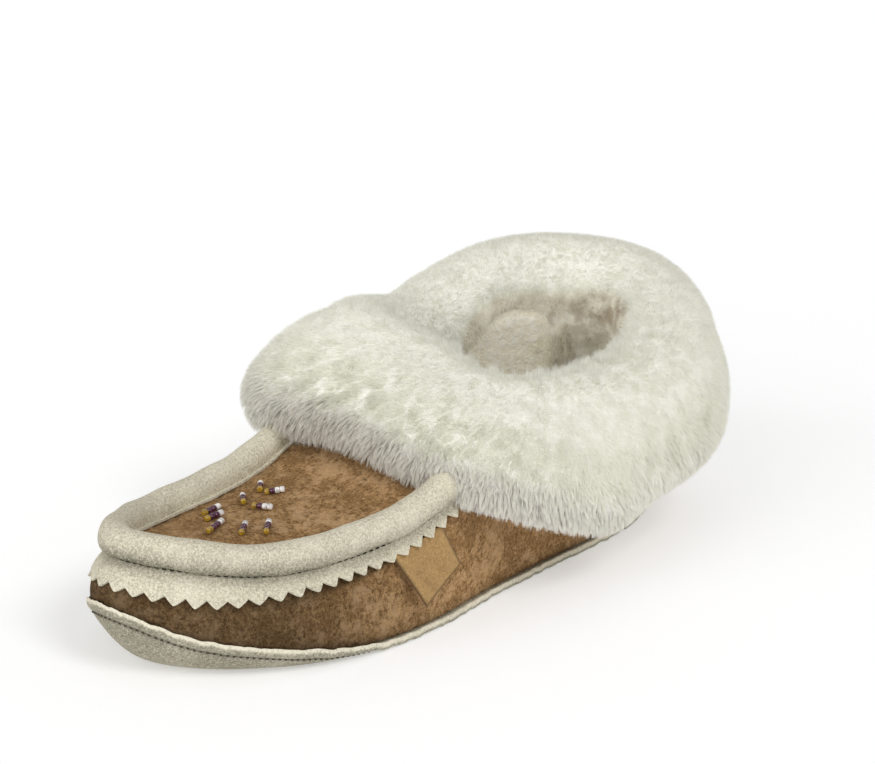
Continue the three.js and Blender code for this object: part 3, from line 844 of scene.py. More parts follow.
def makeTrim():
    count = trimLook["teeth"] * trimLook["stepsPerTooth"] + 1
    place = np.linspace(0, trimLook["teeth"], count)
    turn = evenTurns(count)[:, None]
    valley = 1 - np.abs(2 * (place % 1) - 1)
    soft = trimLook["tipRound"]
    valley = (np.sqrt(valley**2 + soft**2) - soft) / (math.sqrt(1 + soft**2) - soft)
    rng = np.random.default_rng(trimLook["seed"])
    uneven = 1 + trimLook["uneven"] * rng.normal(size=trimLook["teeth"] + 1)[np.floor(place).astype(int)]
    uneven = np.clip(uneven, *trimLook["unevenRange"])
    lowest = trimDrop(turn) - (trimLook["toothDepth"] * valley * uneven)[:, None]
    share = np.linspace(0, 1, trimLook["rows"])[None, :]
    down = -trimLook["tuck"] + share * (lowest + trimLook["tuck"])
    free = smoothStep(*trimLook["waveFrom"], down)  # only the free edge waves
    off = trimOff(turn, down) + trimLook["wave"] * ripples(belowTop(turn, down, 0), 13, seed=33) * free
    paintedShade = trimLook["paintedShade"] * smoothStep(*trimLook["trimShadeFrom"], down)
    outer = belowTop(turn, down, off + trimLook["thick"])
    return sheetMesh("trim", outer, belowTop(turn, down, off), sharpest=40, marks={"paintedShade": paintedShade})


addPiece("pinked_strip", makeTrim(), cream, "suede_cream", "pinked_trim")
print("zigzag strip made")


# Blank leather label that hangs from the seam on the outer side
labelLook = {
    "front": 70.0,
    "back": 80.0,
    "start": 3.2,
    "drop": 17.4,
    "thick": 1.0,
    "lean": 2.8,
    "flare": 2.6,
    "lift": 4.0,
    "liftPower": 1.3,
    "burnish": 0.05,
    "rows": 48,
    "columns": 44,
}


def makeLabel():
    row = np.linspace(0, 1, labelLook["rows"])[:, None]
    column = np.linspace(0, 1, labelLook["columns"])[None, :]
    wide = labelLook["back"] - labelLook["front"]
    turn = np.radians(labelLook["front"] + wide * column + row * labelLook["lean"])
    lift = labelLook["lift"] * row ** labelLook["liftPower"] * (1 - column) ** 2
    off = shape["seamGap"] + labelLook["flare"] * row**2 + lift
    down = labelLook["start"] + row * labelLook["drop"] + 0 * column
    border = np.minimum(np.minimum(column, 1 - column), 1 - row)
    edge = smoothStep(labelLook["burnish"], 0.0, border)
    outer = belowTop(turn, down, off + labelLook["thick"])
    return sheetMesh("label", outer, belowTop(turn, down, off), sharpest=40, marks={"edge": edge})


addPiece("label_leather", makeLabel(), tan, "leather_tan", "tag")
print("label made")


lengthInput, countInput, finishInput = "NodeSocketFloat", "NodeSocketInt", "NodeSocketMaterial"


# Geometry Nodes: a recipe is a tree with named inputs, baked to a plain mesh before anything rides on it
class Recipe(Board):
    def __init__(self, name, inputs):
        self.tree = bpy.data.node_groups.new(name, "GeometryNodeTree")
        face = self.tree.interface
        face.new_socket("Geometry", in_out="INPUT", socket_type="NodeSocketGeometry")
        face.new_socket("Geometry", in_out="OUTPUT", socket_type="NodeSocketGeometry")
        self.sockets = {}
        for label, kind in inputs.items():
            self.sockets[label] = face.new_socket(label, in_out="INPUT", socket_type=kind).identifier
        self.entry = self.tree.nodes.new("NodeGroupInput")

    def given(self, label):
        return Wire(self, self.entry.outputs[label])

    # Places along the path that the recipe is given, by their distance or their number
    def places(self, mode, label, amount):
        curve = self.add("GeometryNodeMeshToCurve", {}, {"Mesh": self.given("Geometry")})
        return self.add("GeometryNodeResampleCurve", {"mode": mode}, {"Curve": curve, label: amount})

    # One solid at each chosen place, turned along the path, joined and dressed
    def strung(self, places, solid, long, material, chosen=True):
        tangent = self.add("GeometryNodeInputTangent")
        heading = self.add("FunctionNodeAlignRotationToVector", {"axis": "Z"}, {"Vector": tangent})
        wide = self.given("Radius")
        size = self.add("ShaderNodeCombineXYZ", {}, {0: wide, 1: wide, 2: long})
        sockets = {"Points": places, "Selection": chosen, "Instance": solid}
        sockets.update({"Rotation": heading, "Scale": size})
        some = self.add("GeometryNodeInstanceOnPoints", {}, sockets)
        whole = self.add("GeometryNodeRealizeInstances", {}, {0: some})
        smooth = self.add("GeometryNodeSetShadeSmooth", {}, {"Geometry": whole})
        return self.add("GeometryNodeSetMaterial", {}, {"Geometry": smooth, "Material": material})

    def end(self, geometry):
        self.add("NodeGroupOutput", {}, {0: geometry})
        return self


def bakeRecipe(name, recipe, points, values):
    edges = [(i, i + 1) for i in range(len(points) - 1)]
    path = bpy.data.meshes.new(name)
    path.from_pydata((points * mm).tolist(), edges, [])
    made = bpy.data.objects.new(name, path)
    bpy.context.scene.collection.objects.link(made)
    modifier = made.modifiers.new("recipe", "NODES")
    modifier.node_group = recipe.tree
    for label, value in values.items():
        modifier[recipe.sockets[label]] = value
    solid = bpy.data.meshes.new_from_object(made.evaluated_get(bpy.context.evaluated_depsgraph_get()))
    bpy.data.objects.remove(made)
    return solid


# Row of stitches along a path: each one a rounded bar that follows the path
def stitchRecipe():
    sizes = {label: lengthInput for label in ("Spacing", "Long", "Radius")}
    r = Recipe("stitches", {**sizes, "Thread": finishInput})
    bar = r.add("GeometryNodeMeshUVSphere", {}, {"Segments": 8, "Rings": 6, "Radius": 1.0})
    places = r.places("LENGTH", "Length", r.given("Spacing"))
    return r.end(r.strung(places, bar, r.given("Long"), r.given("Thread")))


stitchLook = {
    "seam": {"spacing": 2.4, "long": 0.8, "radius": 0.27, "off": 5.1, "end": math.radians(88)},
    "sole": {"spacing": 2.1, "long": 0.5, "radius": 0.32, "sunk": 0.25, "end": math.radians(64)},
}
darkThread = thread("dark thread", rgb(0.035, 0.028, 0.02))
shadeThread = thread("grey thread", rgb(0.09, 0.08, 0.055))
stitches = stitchRecipe()


def sewRow(name, look, path, material):
    sizes = {"Spacing": look["spacing"] * mm, "Long": look["long"] * mm, "Radius": look["radius"] * mm}
    row = bakeRecipe(name, stitches, path, {**sizes, "Thread": material})
    addPiece(name, row, None, "suede_cream")


def makeStitches():
    look = stitchLook["seam"]
    turn = np.linspace(-look["end"], look["end"], 400)
    sewRow("seam_stitches", look, rollPoint(turn, rollLook["seamAngle"], look["off"]), darkThread)
    look = stitchLook["sole"]
    turn = np.linspace(-look["end"], look["end"], 500)
    inset = soleLook["stitchInset"]
    height = soleTop(turn, inset) - shape["soleThick"]
    sewRow("sole_stitches", look, planPoint(turn, inset + look["sunk"] + 0 * turn, height), shadeThread)


makeStitches()
print("stitches sewn")


# Bead rows on the apron: x and y of the white end and of the gold end, and the number of white beads
beadLook = {"radius": 1.05, "inRow": 4, "tall": 0.5}
beadRows = [
    (-15.6, -62.6, -14.2, -71.2, 1),
    (-9.6, -66.5, -9.1, -74.5, 1),
    (-4.0, -71.6, 0.8, -82.0, 1),
    (-16.6, -51.7, -10.5, -56.6, 1),
    (0.6, -54.0, -6.0, -57.0, 2),
    (-18.7, -41.8, -13.9, -46.4, 1),
    (-6.5, -42.0, -11.0, -47.0, 2),
    (3.6, -68.4, 9.2, -75.4, 1),
    (7.9, -62.1, 14.2, -69.2, 1),
]


# A row of beads, each a barrel: white ones first, then purple, and one gold at the end
def beadRecipe():
    inputs = {"Count": countInput, "Whites": countInput, "Radius": lengthInput, "Half": lengthInput}
    inputs.update({label: finishInput for label in ("White", "Purple", "Gold")})
    r = Recipe("beads", inputs)
    ball = r.add("GeometryNodeMeshUVSphere", {}, {"Segments": 20, "Rings": 14, "Radius": 1.0})
    spot = r.add("GeometryNodeInputPosition")
    x, y, z = (r.add("ShaderNodeSeparateXYZ", {}, {0: spot}, axis) for axis in range(3))
    ring = x * x + y * y
    grow = r.reckon("POWER", ring * ring + (z * z) * (z * z), -0.25)
    barrel = r.add("ShaderNodeVectorMath", {"operation": "SCALE"}, {0: spot, "Scale": grow})
    bead = r.add("GeometryNodeSetPosition", {}, {"Geometry": ball, "Position": barrel})
    places = r.places("COUNT", "Count", r.given("Count"))
    index = r.add("GeometryNodeInputIndex")
    isWhite = r.reckon("LESS_THAN", index, r.given("Whites"))
    isGold = r.reckon("GREATER_THAN", index, r.given("Count") - 1.5)
    joined = r.tree.nodes.new("GeometryNodeJoinGeometry")
    for label, chosen in {"White": isWhite, "Gold": isGold, "Purple": 1 - isWhite - isGold}.items():
        dressed = r.strung(places, bead, r.given("Half"), r.given(label), chosen)
        r.tree.links.new(dressed.socket, joined.inputs[0])
    return r.end(Wire(r, joined.outputs[0]))


def makeBeads():
    recipe = beadRecipe()
    kinds = {
        "White": glass("white glass", rgb(0.95, 0.92, 0.9)),
        "Purple": glass("purple glass", rgb(0.09, 0.012, 0.05)),
        "Gold": glass("gold glass", rgb(0.5, 0.3, 0.02)),
    }
    many, radius = beadLook["inRow"], beadLook["radius"]
    share = (np.arange(many) + 0.5) / many
    for place, (x1, y1, x2, y2, whites) in enumerate(beadRows, 1):
        x, y = graded((x1, x2), share), graded((y1, y2), share)
        path = np.stack([x, y, apronHeight(x, y) + shape["seamGap"] + radius], -1)
        half = beadLook["tall"] * math.hypot(x2 - x1, y2 - y1) / many
        values = {"Count": many, "Whites": whites, "Radius": radius * mm, "Half": half * mm, **kinds}
        name = f"beads_{place}"
        addPiece(name, bakeRecipe(name, recipe, path, values), None, "beads", f"bead_stitch_{place}")


makeBeads()
print("beads strung")


# Fur collar: one section for each bearing round the opening, 0 at the toe side, 90 at the outer side
collarTable = {
    "bearing": [0, 35, 65, 90, 120, 150, 180, 210, 240, 270, 295, 325],
    "foldReach": [48, 57, 46, 41.5, 44.5, 51.5, 57, 52, 44, 41, 44.5, 59],
    "foldTop": [79, 72.5, 70.8, 71, 76, 83.5, 90, 92.5, 91.5, 85.5, 80.5, 85.5],
    "foldHalf": [14, 14, 16, 16.5, 17, 18.5, 18, 18.5, 17.5, 17.5, 17, 17],
    "hemReach": [75, 83.5, 64, 52, 53.5, 58.5, 62.5, 59, 52, 49, 60.5, 82],
    "hemLow": [42, 33.5, 19.5, 22, 24.5, 25.5, 24, 21, 20, 24, 33.5, 37],
    "hemHalf": [12, 12, 12, 13, 14.5, 15.5, 16, 15.5, 13.5, 12.5, 13, 17],
}
openingY = 66.0
flankBelly = 2.0


def wrapped(table, key, period):
    whole = {}
    for column, values in table.items():
        shift = period if column == key else 0
        whole[column] = [v - shift for v in values[-2:]] + values + [v + shift for v in values[:2]]
    return whole


collarRound = wrapped(collarTable, "bearing", 360)


# Place on the collar: a point, the way out of the fur and the way down along it
def collarPlace(bearing, station):
    def at(column):
        return smoothAt(collarRound, column, bearing % 360, "bearing")

    foldHalf, hemHalf = at("foldHalf"), at("hemHalf")
    foldX, foldZ = at("foldReach"), at("foldTop") - foldHalf
    runX, runZ = at("hemReach") - foldX, at("hemLow") + hemHalf - foldZ
    opened = np.arccos((foldHalf - hemHalf) / np.hypot(runX, runZ))
    angle = np.arctan2(runZ, runX) + opened
    angle = angle + np.maximum(0, -station) * (math.pi - opened) - np.maximum(0, station - 1) * opened
    flank = np.clip(station, 0, 1)
    half = graded((foldHalf, hemHalf), flank) + flankBelly * 4 * flank * (1 - flank)
    outX, outZ = np.cos(angle), np.sin(angle)
    heading = np.radians(bearing)

    def lift(reach, height, middle):
        parts = (reach * np.sin(heading), middle - reach * np.cos(heading), height)
        return np.stack(np.broadcast_arrays(*parts), -1)

    point = lift(foldX + runX * flank + outX * half, foldZ + runZ * flank + outZ * half, openingY)
    return point, lift(outX, outZ, 0), lift(outZ, -outX, 0)


# Turn and inset of points in plan, the other way round from planPoint
def planPlace(points):
    x, y = points[..., 0], points[..., 1]
    turn = np.arccos(np.clip(-2 * y / shape["length"], -1, 1)) * np.where(x >= 0, 1, -1)
    fine = np.linspace(0.5 * math.pi, 1.5 * math.pi, 1200)
    edgeX, edgeY = edgeAt(fine)
    atHeel = edgeY > shape["heelSpine"]
    bend = np.arctan2(edgeX[atHeel], edgeY[atHeel] - shape["heelSpine"])
    mine = np.arctan2(x, y - shape["heelSpine"])
    turn = np.where(y > shape["heelSpine"], np.interp(-mine, -bend, fine[atHeel]), turn)
    return turn, reachAt(turn) - np.hypot(x, y - spineAt(y))


# Room between points and the leather: its side, its rim, the roll and the apron; negative inside
def leatherRoom(points):
    turn, inset = planPlace(points)
    z = points[..., 2]
    foot, top = wallFoot(turn), topHeight(turn)
    share = np.clip((z - foot) / (top - foot), 0, 1)
    belly = 2 * shape["bellyHeight"]
    curve = 1 - belly  # the wall's height is belly * rise + curve * rise ** 2
    rise = (-belly + np.sqrt(belly**2 + 4 * curve * share)) / (2 * curve)
    side = wallInset(turn, rise) - inset
    room = np.maximum(side, z - top)
    onRoll = np.abs(wrapAngle(turn)) < rollLook["end"]
    room = np.where(onRoll, room, np.maximum(room, -side - shape["wallThick"]))  # the heel is open inside
    rollInset = topInset(turn) + rollLook["inward"]
    away = np.hypot(inset - rollInset, z - top - rollLook["upward"]) - rollLook["radius"]
    room = np.where(onRoll, np.minimum(room, away), room)
    overApron = onRoll & (inset > rollInset)
    above = z - apronHeight(points[..., 0], points[..., 1])
    return np.where(overApron, np.minimum(room, above), room), side, z - top


# Insole and lining: fleece in soft lumps; at the heel the lining swells out to meet the fold
bedLook = {"shoulder": 11.0, "edgeShare": 0.6, "lumps": 0.5, "lumpsFrom": 3.0, "steps": 300, "rows": 26}
liningLook = {
    "thick": 1.6,
    "least": 0.4,
    "lumps": 1.0,
    "off": 0.4,
    "aboveBed": 2.0,
    "footFade": 0.08,
    "rows": 34,
    "steps": 360,
    "foldStation": -1.7,
    "foldDepth": 1.8,
    "swells": (math.radians(95), math.radians(120)),
    "swellFull": 0.75,
}
liningWoolLook = {
    "seed": 73,
    "strands": 70000,
    "quickStrands": 20000,
    "fromRow": 0.55,
    "sector": (0.26, 0.74),
    "lift": 1.8,
    "lean": 0.9,
    "towards": (0.0, openingY, 40.0),
    "wave": 0.8,
    "tone": 0.05,
    "lightest": 0.98,
}


# Brown clumps lie deep in the heel, most of them towards the outer side
clumpLook = {
    "most": 0.85,
    "share": (0.15, 1),
    "across": (-22, 12),
    "along": (55, 90),
    "size": 9,
    "seed": 61,
    "furEdge": (-0.35, 0.35),
    "liningEdge": (-0.3, 0.5),
}


def heelDark(points):
    outerSide = graded(clumpLook["share"], smoothStep(*clumpLook["across"], points[..., 0]))
    return clumpLook["most"] * outerSide * smoothStep(*clumpLook["along"], points[..., 1])


def makeBed():
    turn = around(bedLook["steps"])
    reach = reachAt(turn)
    edge = shape["footInset"] + shape["wallThick"] + 2 * shape["seamGap"]
    rings = []
    for share in (1, 0.6, 0.2, 0):  # underside
        inset = graded((edge, reach), share)
        rings.append(planPoint(turn, inset, soleTop(turn, inset) + shape["bedGap"]))
    for share in np.linspace(0, 1, bedLook["rows"]):
        inset = graded((edge, reach), share)
        full = graded((bedLook["edgeShare"], 1), smoothStep(edge, bedLook["shoulder"], inset))
        top = planPoint(turn, inset, soleTop(turn, inset) + shape["bedGap"] + shape["bedThick"] * full)
        lumpy = smoothStep(edge, edge + bedLook["lumpsFrom"], inset)
        top[:, 2] += bedLook["lumps"] * lumpy * ripples(top * [1, 1, 0], 6, seed=41)
        rings.append(top)
    rings = np.array(rings)
    return ringMesh("bed", rings, meets=False, sharpest=70, marks={"dark": heelDark(rings)})


def makeLining():
    turn = around(liningLook["steps"])
    low = (shape["bedThick"] + liningLook["aboveBed"]) / (topHeight(turn) - wallFoot(turn))
    back = -shape["wallThick"] - liningLook["off"]
    outer, inner = [], []
    for share in np.linspace(0, 1, liningLook["rows"]):
        rise = low + (1.0 - low) * share
        bare = wallPoint(turn, rise, back)
        lumps = 1 + ripples(bare, 8, seed=44) + 0.5 * ripples(bare, 4, seed=45)
        bulge = liningLook["thick"] + liningLook["lumps"] * lumps / 2
        bulge = np.clip(bulge * smoothStep(0, liningLook["footFade"], share), 0, None)
        outer.append(bare)
        inner.append(wallPoint(turn, rise, back - liningLook["least"] - bulge))
    rim, face = outer[-1], inner[-1]
    bearing = np.degrees(np.arctan2(rim[:, 0], openingY - rim[:, 1]))
    fold, out, _ = collarPlace(bearing, liningLook["foldStation"] + 0 * turn)
    full = smoothStep(*liningLook["swells"], np.abs(wrapAngle(turn)))[:, None]
    swell = (fold - out * liningLook["foldDepth"] - face) * full
    for row, share in enumerate(np.linspace(0, 1, liningLook["rows"])):
        reach = smoothStep(0, liningLook["swellFull"], share)
        inner[row] = inner[row] + swell * np.array([reach, reach, share**2])
    rings = np.array(outer + inner[::-1])
    mesh = ringMesh("lining", rings, meets=True, sharpest=70, marks={"dark": heelDark(rings)})
    return mesh, np.array(inner)


addPiece("insole_fleece", makeBed(), beige, "fleece", "insole")
liningMesh, liningFace = makeLining()
addPiece("lining_fleece", liningMesh, beige, "fleece")
print("insole and lining made")


# Fur: stations run from inside the opening, -2, over the fold, down the flank, 0 to 1, and round the hem to 2
furLook = {
    "seed": 17,
    "strands": 400000,
    "quickStrands": 100000,
    "stations": (-2.0, 2.0),
    "skinSteps": (300, 80),
    "foldArea": 62000.0,
    # Sizes on the fold and at the hem
    "skinDepth": (0.35, 1.1),
    "skinLumps": (0.15, 0.5),
    "rootDepth": (0.9, 1.7),
    "tipLift": (1.0, 1.6),
    "lean": (2.2, 3.8),
    "sway": (0.7, 0.15),
    "bends": (17.0, 14.0),
    # Heights are shares of the lift and the lean: middle and spread, and their range
    "height": (1.0, 0.18),
    "hubHeight": (1.05, 0.12),
    "heightRange": (0.5, 1.5),
    "nestShorter": 0.3,
    "width": 0.2,
    "widthRange": (0.7, 1.3),
    "twist": 0.4,
    # Least room between the leather and skin, roots and tips
    "skinRoom": 0.4,
    "rootRoom": -0.8,
    "tipRoom": -0.3,
    # Stations between which the wool changes
    "combed": (-0.9, 0.35),
    "intoFrom": (-1.0, -1.8),
    "crest": (0.4, -0.3),
    "opens": (0.3, 1.3),
    "hem": (1.05, 1.65),
    "bendsUntil": (0.1, 0.8),  # the fold's bend ends and the hem's begins
    # How far it is combed, and drawn together
    "intoOpening": 0.75,
    "swirl": 0.75,
    "locks": {"spread": 8.0, "pull": (0.05, 0.25), "swing": 0.28, "tone": 0.015},
    "tufts": {"spread": 1.4, "pull": (0.12, 0.5), "swing": 0.2, "tone": 0.02},
    # Side of the hem that shows its grey roots with painted shade, and how much the other sides do
    "hemBearing": 15,
    "hemFacing": (0.3, 0.9),
    "hemSides": 0.3,
    # Tones and colours
    "tone": 0.03,
    # painted shade on the fold's crest and inside it, against the light on its top
    "crestShade": 0.06,
    "lightest": 0.99,
    "root": (0.95, 0.945, 0.88),
    "tip": (0.985, 0.98, 0.92),
    "hemRootGreyAndShade": (0.48, 0.445, 0.43),
    "hemTip": (0.985, 0.975, 0.91),
}
# Station inside the opening below which the wool takes the lining's colours
nestTable = {
    "bearing": [0, 60, 105, 135, 150, 165, 190, 215, 240, 270, 300, 330],
    "station": [-1.9, -1.9, -1.35, -1.3, -1.35, -1.5, -1.75, -1.78, -1.72, -1.62, -1.62, -1.8],
}
nestRound = wrapped(nestTable, "bearing", 360)
nestFade = 0.1


# The wool opens into tufts from the fold, 0, to the hem, 1
def openAt(station):
    return smoothStep(*furLook["opens"], station)


# The tufts at the front hem show their grey roots, and painted shade darkens the roots and skin between the
# tufts
def hemGreyAndShadeAt(bearing, station):
    facing = np.cos(np.radians(bearing - furLook["hemBearing"]))
    front = graded((furLook["hemSides"], 1), smoothStep(*furLook["hemFacing"], facing))
    return smoothStep(*furLook["hem"], station) * front


# Ragged tufts stand up along the near rim of the opening
rimLook = {
    "lift": 3.0,
    "bearing": 60,
    "near": (0.1, 0.7),
    "inside": (-1.5, -1.1),
    "outside": (0.0, -0.4),
    "ragged": (0.1, 1.2),
}


def rimTufts(place, bearing, station):
    near = smoothStep(*rimLook["near"], np.cos(np.radians(bearing - rimLook["bearing"])))
    crest = smoothStep(*rimLook["inside"], station) * smoothStep(*rimLook["outside"], station)
    tufts = ripples(place, 5, seed=63) + 0.5 * ripples(place, 2, seed=64)
    return near * crest * smoothStep(*rimLook["ragged"], tufts)


def nestAt(bearing, station):
    edge = smoothAt(nestRound, "station", bearing % 360, "bearing")
    return smoothStep(nestFade, -nestFade, station - edge)


# Skin that the wool grows from, laid clear of the leather
def makeSkin():
    columns, rows = furLook["skinSteps"]
    bearing = np.linspace(0, 360, columns, endpoint=False)[:, None]
    station = np.linspace(-2, 3, rows, endpoint=False)[None, :]
    bearing, station = np.broadcast_arrays(bearing, station)
    point, out, _ = collarPlace(bearing, station)
    opened = openAt(station)
    lumps = graded(furLook["skinLumps"], opened) * ripples(point, 8, seed=51)
    skin = point - out * (graded(furLook["skinDepth"], opened) - lumps)[..., None]
    clear = furLook["skinRoom"]
    room, side, over = leatherRoom(skin)
    inside = room < clear
    pushOut = inside & (side > over)
    turn, inset = planPlace(skin)
    away = planPoint(turn, inset - (clear - side), skin[..., 2])
    skin = np.where(pushOut[..., None], away, skin)
    lifted = np.maximum(skin[..., 2], skin[..., 2] - np.minimum(room, 0) + clear)
    skin[..., 2] = np.where(inside & ~pushOut, lifted, skin[..., 2])
    marks = {"hem": hemGreyAndShadeAt(bearing, station), "nest": nestAt(bearing, station)}
    return ringMesh("skin", skin, meets=True, sharpest=80, marks=marks)


# Even random places over the fold, by the area of small cells
def scatterPlaces(rng, count):
    bearing = np.linspace(0, 360, 361)
    station = np.linspace(*furLook["stations"], 90)
    corner = collarPlace(bearing[:, None], station[None, :])[0]
    across = corner[1:, :-1] - corner[:-1, :-1]
    along = corner[:-1, 1:] - corner[:-1, :-1]
    area = np.linalg.norm(np.cross(across, along), axis=-1).ravel()
    cell = rng.choice(len(area), count, p=area / area.sum())
    b, s = np.divmod(cell, len(station) - 1)
    return (bearing[b] + rng.random(count) * (bearing[1] - bearing[0]),
            station[s] + rng.random(count) * (station[1] - station[0]))


# Which way the wool lies: into the opening inside the fold, up on its crest, down outside it
def layAt(station):
    inwards = furLook["intoOpening"] * smoothStep(*furLook["intoFrom"], station)
    return smoothStep(*furLook["combed"], station) - inwards


# Root and tip of strands; a strand that lies over a bend keeps to the pile's surface
def strandEnds(bearing, station, sway, swirl, height):
    point, out, down = collarPlace(bearing, station)
    across = np.cross(out, down)
    lay = layAt(station)
    loose = furLook["swirl"] * (1 - np.abs(lay))  # wool that isn't combed leans any way, lock by lock
    comb = down * (lay * np.cos(sway) + loose * np.cos(swirl))[:, None]
    comb = comb + across * (lay * np.sin(sway) + loose * np.sin(swirl))[:, None]
    opened = openAt(station)
    run = (graded(furLook["lean"], opened) * height)[:, None] * comb
    foldRadius, hemRadius = furLook["bends"]
    foldEnds, hemBegins = furLook["bendsUntil"]
    bend = np.where(station < foldEnds, 1 / foldRadius, np.where(station > hemBegins, 1 / hemRadius, 0.0))
    sag = 0.5 * bend * (run**2).sum(axis=1)
    rise = graded(furLook["tipLift"], opened) * height - sag
    root = point - out * graded(furLook["rootDepth"], opened)[:, None]
    return root, point + out * rise[:, None] + run, out


def nearest(points, centres):
    tree = kdtree.KDTree(len(centres))
    for i, centre in enumerate(centres):
        tree.insert(centre, i)
    tree.balance()
    return np.array([tree.find(p)[1] for p in points])


# Each strand is a triangle, wide at its root
def blades(root, tip, side, width):
    half = 0.5 * width * side
    return np.stack([root - half, root + half, tip], 1)


# Strands drawn together in locks and tufts more and more towards the hem
def growFur():
    rng = np.random.default_rng(furLook["seed"])
    count = furLook["strands"]
    bearing, station = scatterPlaces(rng, count)
    nest = nestAt(bearing, station)
    opened = openAt(station)
    height = rng.normal(*furLook["height"], count).clip(*furLook["heightRange"])
    height = height * (1 - furLook["nestShorter"] * nest)
    sway = rng.normal(0, 1, count) * graded(furLook["sway"], opened)
    tone = rng.normal(0, furLook["tone"], count)
    # Painted shade: the crest and the inside of the fold are darker
    tone = tone - furLook["crestShade"] * smoothStep(*furLook["crest"], station)
    swirl = rng.normal(0, 1.0, count)
    place = collarPlace(bearing, station)[0]
    pulls = []
    for key in ("locks", "tufts"):
        look = furLook[key]
        many = int(furLook["foldArea"] / look["spread"] ** 2)
        hubBearing, hubStation = scatterPlaces(rng, many)
        mine = nearest(place, collarPlace(hubBearing, hubStation)[0])
        hubSway = rng.normal(0, look["swing"], many)
        sway = sway + hubSway[mine]
        tone = tone + rng.normal(0, look["tone"], many)[mine]
        hubSwirl = rng.uniform(0, 2 * math.pi, many)
        swirl = swirl + hubSwirl[mine]
        hubHeight = rng.normal(*furLook["hubHeight"], many)
        hubTip = strandEnds(hubBearing, hubStation, hubSway, hubSwirl, hubHeight)[1]
        pulls.append((hubTip[mine], graded(look["pull"], opened)))
    root, tip, out = strandEnds(bearing, station, sway, swirl, height)
    tip = tip + out * (rimLook["lift"] * height * rimTufts(place, bearing, station))[:, None]
    for hubTip, pull in pulls:
        tip = tip + (hubTip - tip) * pull[:, None]
    keep = leatherRoom(root)[0] > furLook["rootRoom"]
    for spot in ((root + tip) / 2, tip):
        keep = keep & (leatherRoom(spot)[0] > furLook["tipRoom"])
    heading = unit(tip - root)
    side = unit(np.cross(heading, out))
    twist = rng.normal(0, furLook["twist"], count)[:, None]
    side = side * np.cos(twist) + np.cross(side, heading) * np.sin(twist)
    width = furLook["width"] * rng.uniform(*furLook["widthRange"], count)[:, None]
    color = woolColors(place, bearing, station, nest, tone)
    return bearing, blades(root, tip, side, width), color, keep


fleeceEnds = np.array(fleeceLook["light"][:3]), np.array(fleeceLook["dark"][:3])


# Colours of the lining's wool, with its dark clumps
def liningColors(points, edge):
    clumps = ripples(points, clumpLook["size"], seed=clumpLook["seed"])
    return graded(fleeceEnds, (smoothStep(*edge, clumps) * heelDark(points))[:, None])


# Colours of strands at both root corners and at the tip
def woolColors(place, bearing, station, nest, tone):
    hem = hemGreyAndShadeAt(bearing, station)[:, None]
    lining = liningColors(place, clumpLook["furEdge"])
    ends = []
    for key, hemKey in (("root", "hemRootGreyAndShade"), ("tip", "hemTip")):
        color = graded((np.array(furLook[key]), np.array(furLook[hemKey])), hem)
        ends.append((color + (lining - color) * nest[:, None]) * (1 + tone)[:, None])
    return np.clip(np.stack([ends[0], ends[0], ends[1]], 1), 0, furLook["lightest"])


furSectors = {"front": (-45, 45), "outer": (45, 135), "heel": (135, 225), "inner": (225, 315)}


# Baked map: one cell of a square grid for each strand
cellCorners = np.array([[0.15, 0.15], [0.85, 0.15], [0.5, 0.85]])


def gridMap(count):
    side = math.ceil(math.sqrt(count))
    row, column = np.divmod(np.arange(count), side)
    return (np.stack([column, row], -1)[:, None, :] + cellCorners) / side


def addStrands(name, strands, color, slot):
    faces = np.arange(3 * len(strands)).reshape(-1, 3)
    mesh = meshFrom(name, strands.reshape(-1, 3), [faces])
    rgba = np.concatenate([color, np.ones((len(strands), 3, 1))], -1)
    store = mesh.attributes.new("wool", "FLOAT_COLOR", "POINT")
    store.data.foreach_set("color", rgba.astype(np.float32).ravel())
    layer = mesh.uv_layers.new(name="OFBake")
    layer.data.foreach_set("uv", gridMap(len(strands)).astype(np.float32).ravel())
    addPiece(name, mesh, wool, slot)
    print(name, len(strands), "strands")


# Lining wool: short strands on the upper part of the heel's lining, where the foot goes in
def makeLiningWool():
    look = liningWoolLook
    rng = np.random.default_rng(look["seed"])
    count = look["strands"]
    rows, columns = liningFace.shape[:2]
    lowest = int(look["fromRow"] * rows)
    row = lowest + rng.integers(0, rows - 1 - lowest, count)
    first, last = (int(columns * share) for share in look["sector"])
    column = rng.integers(first, last, count)
    u, v = rng.random((2, count))[..., None]
    corner = liningFace[row, column]
    up = liningFace[row + 1, column] - corner
    along = liningFace[row, column + 1] - corner
    place = corner + u * along + v * up
    inward = unit(np.cross(up, along))
    inward *= np.sign((inward * (look["towards"] - place)).sum(axis=1))[:, None]
    swing = rng.normal(0, 1, (count, 3))
    swing[:, 2] += look["wave"] * ripples(place, 6, seed=71)
    tip = place + look["lift"] * inward + look["lean"] * swing
    side = unit(np.cross(tip - place, rng.normal(0, 1, (count, 3))))
    tone = rng.normal(0, look["tone"], count)
    color = liningColors(place, clumpLook["liningEdge"]) * (1 + tone)[:, None]
    color = np.clip(color, 0, look["lightest"])[:, None, :].repeat(3, axis=1)
    addStrands("lining_wool", blades(place, tip, side, furLook["width"]), color, "fleece")


def makeFur():
    bearing, strands, color, keep = growFur()
    angle = (bearing + 45) % 360 - 45
    for name, (low, high) in furSectors.items():
        mine = np.nonzero(keep & (angle >= low) & (angle < high))[0]
        addStrands("fur_" + name, strands[mine], color[mine], "sheepskin")


addPiece("fur_skin", makeSkin(), woolSkin, "sheepskin", "fur_collar")
makeFur()
makeLiningWool()


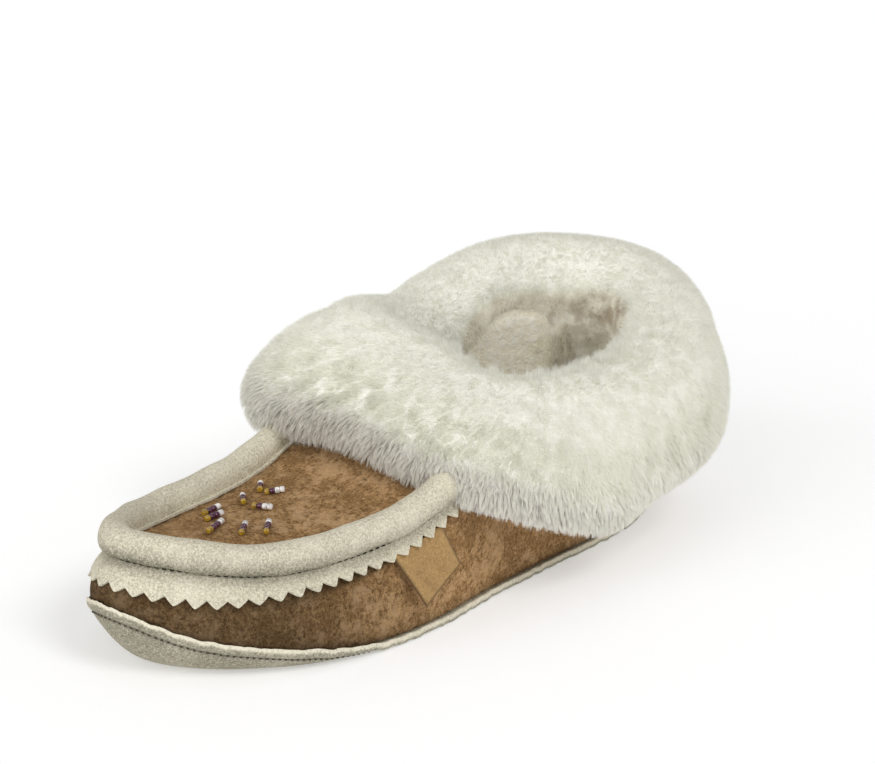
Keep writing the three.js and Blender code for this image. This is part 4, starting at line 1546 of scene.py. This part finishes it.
# Stage: pale floor, soft light and the camera of the photograph
view = {
    "azimuth": 45.6,
    "elevation": 19.3,
    "distance": 1000.0,
    "focus": (0.0, 0.0, 40.0),
    "focalPixels": 2969.0,
    "wide": 875,
    "moved": (-48.0, 79.0),  # pixels by which the focus lies right of and below the middle
    "sensor": 36.0,
}


def makeCamera():
    turn, lift = math.radians(view["azimuth"]), math.radians(view["elevation"])
    back = Vector((math.sin(turn) * math.cos(lift), -math.cos(turn) * math.cos(lift), math.sin(lift)))
    right = Vector((0, 0, 1)).cross(back).normalized()
    up = back.cross(right)
    focus = Vector(view["focus"]) * mm
    perPixel = view["distance"] * mm / view["focalPixels"]
    aim = focus - right * view["moved"][0] * perPixel + up * view["moved"][1] * perPixel
    camera = bpy.data.objects.new("camera", bpy.data.cameras.new("camera"))
    camera.data.sensor_fit = "HORIZONTAL"
    camera.data.sensor_width = view["sensor"]
    camera.data.lens = view["focalPixels"] * view["sensor"] / view["wide"]
    camera.location = focus + back * view["distance"] * mm
    camera.rotation_euler = (camera.location - aim).to_track_quat("Z", "Y").to_euler()
    bpy.context.scene.collection.objects.link(camera)
    bpy.context.scene.camera = camera


lamps = {
    "side": {"towards": (0.85, -0.1, 0.85), "power": 1.0, "spread": 22.0},
    "front": {"towards": (0.1, -0.9, 0.2), "power": 1.8, "spread": 70.0},
}
skyPower = 0.46
floorLook = {
    "half": 4000.0,
    "drop": 0.3,
    "glow": 0.34,
    "dark": rgb(0.79, 0.79, 0.79),
    "light": rgb(0.81, 0.81, 0.81),
}


def makeStage():
    scene = bpy.context.scene
    f = Finish("pale floor")
    color = f.blend(f.noise(300, detail=1), floorLook["dark"], floorLook["light"])
    floorFinish = f.finish(color, 0.9, Emission_Color=rgb(1, 1, 1), Emission_Strength=floorLook["glow"])
    half, low = floorLook["half"], -floorLook["drop"]
    ground = np.array([[-half, -half, low], [half, -half, low], [half, half, low], [-half, half, low]])
    floor = bpy.data.objects.new("floor", meshFrom("floor", ground, [np.array([[0, 1, 2, 3]])]))
    floor.data.materials.append(floorFinish)
    scene.collection.objects.link(floor)
    for name, look in lamps.items():
        lamp = bpy.data.lights.new(name, "SUN")
        lamp.energy = look["power"]
        lamp.angle = math.radians(look["spread"])
        placed = bpy.data.objects.new(name, lamp)
        placed.rotation_euler = Vector(look["towards"]).to_track_quat("Z", "Y").to_euler()
        scene.collection.objects.link(placed)
    world = bpy.data.worlds.new("studio")
    world.use_nodes = True
    world.node_tree.nodes["Background"].inputs["Color"].default_value = rgb(1, 1, 1)
    world.node_tree.nodes["Background"].inputs["Strength"].default_value = skyPower
    scene.world = world
    scene.view_settings.view_transform = "Standard"


makeCamera()
makeStage()
print("stage set")
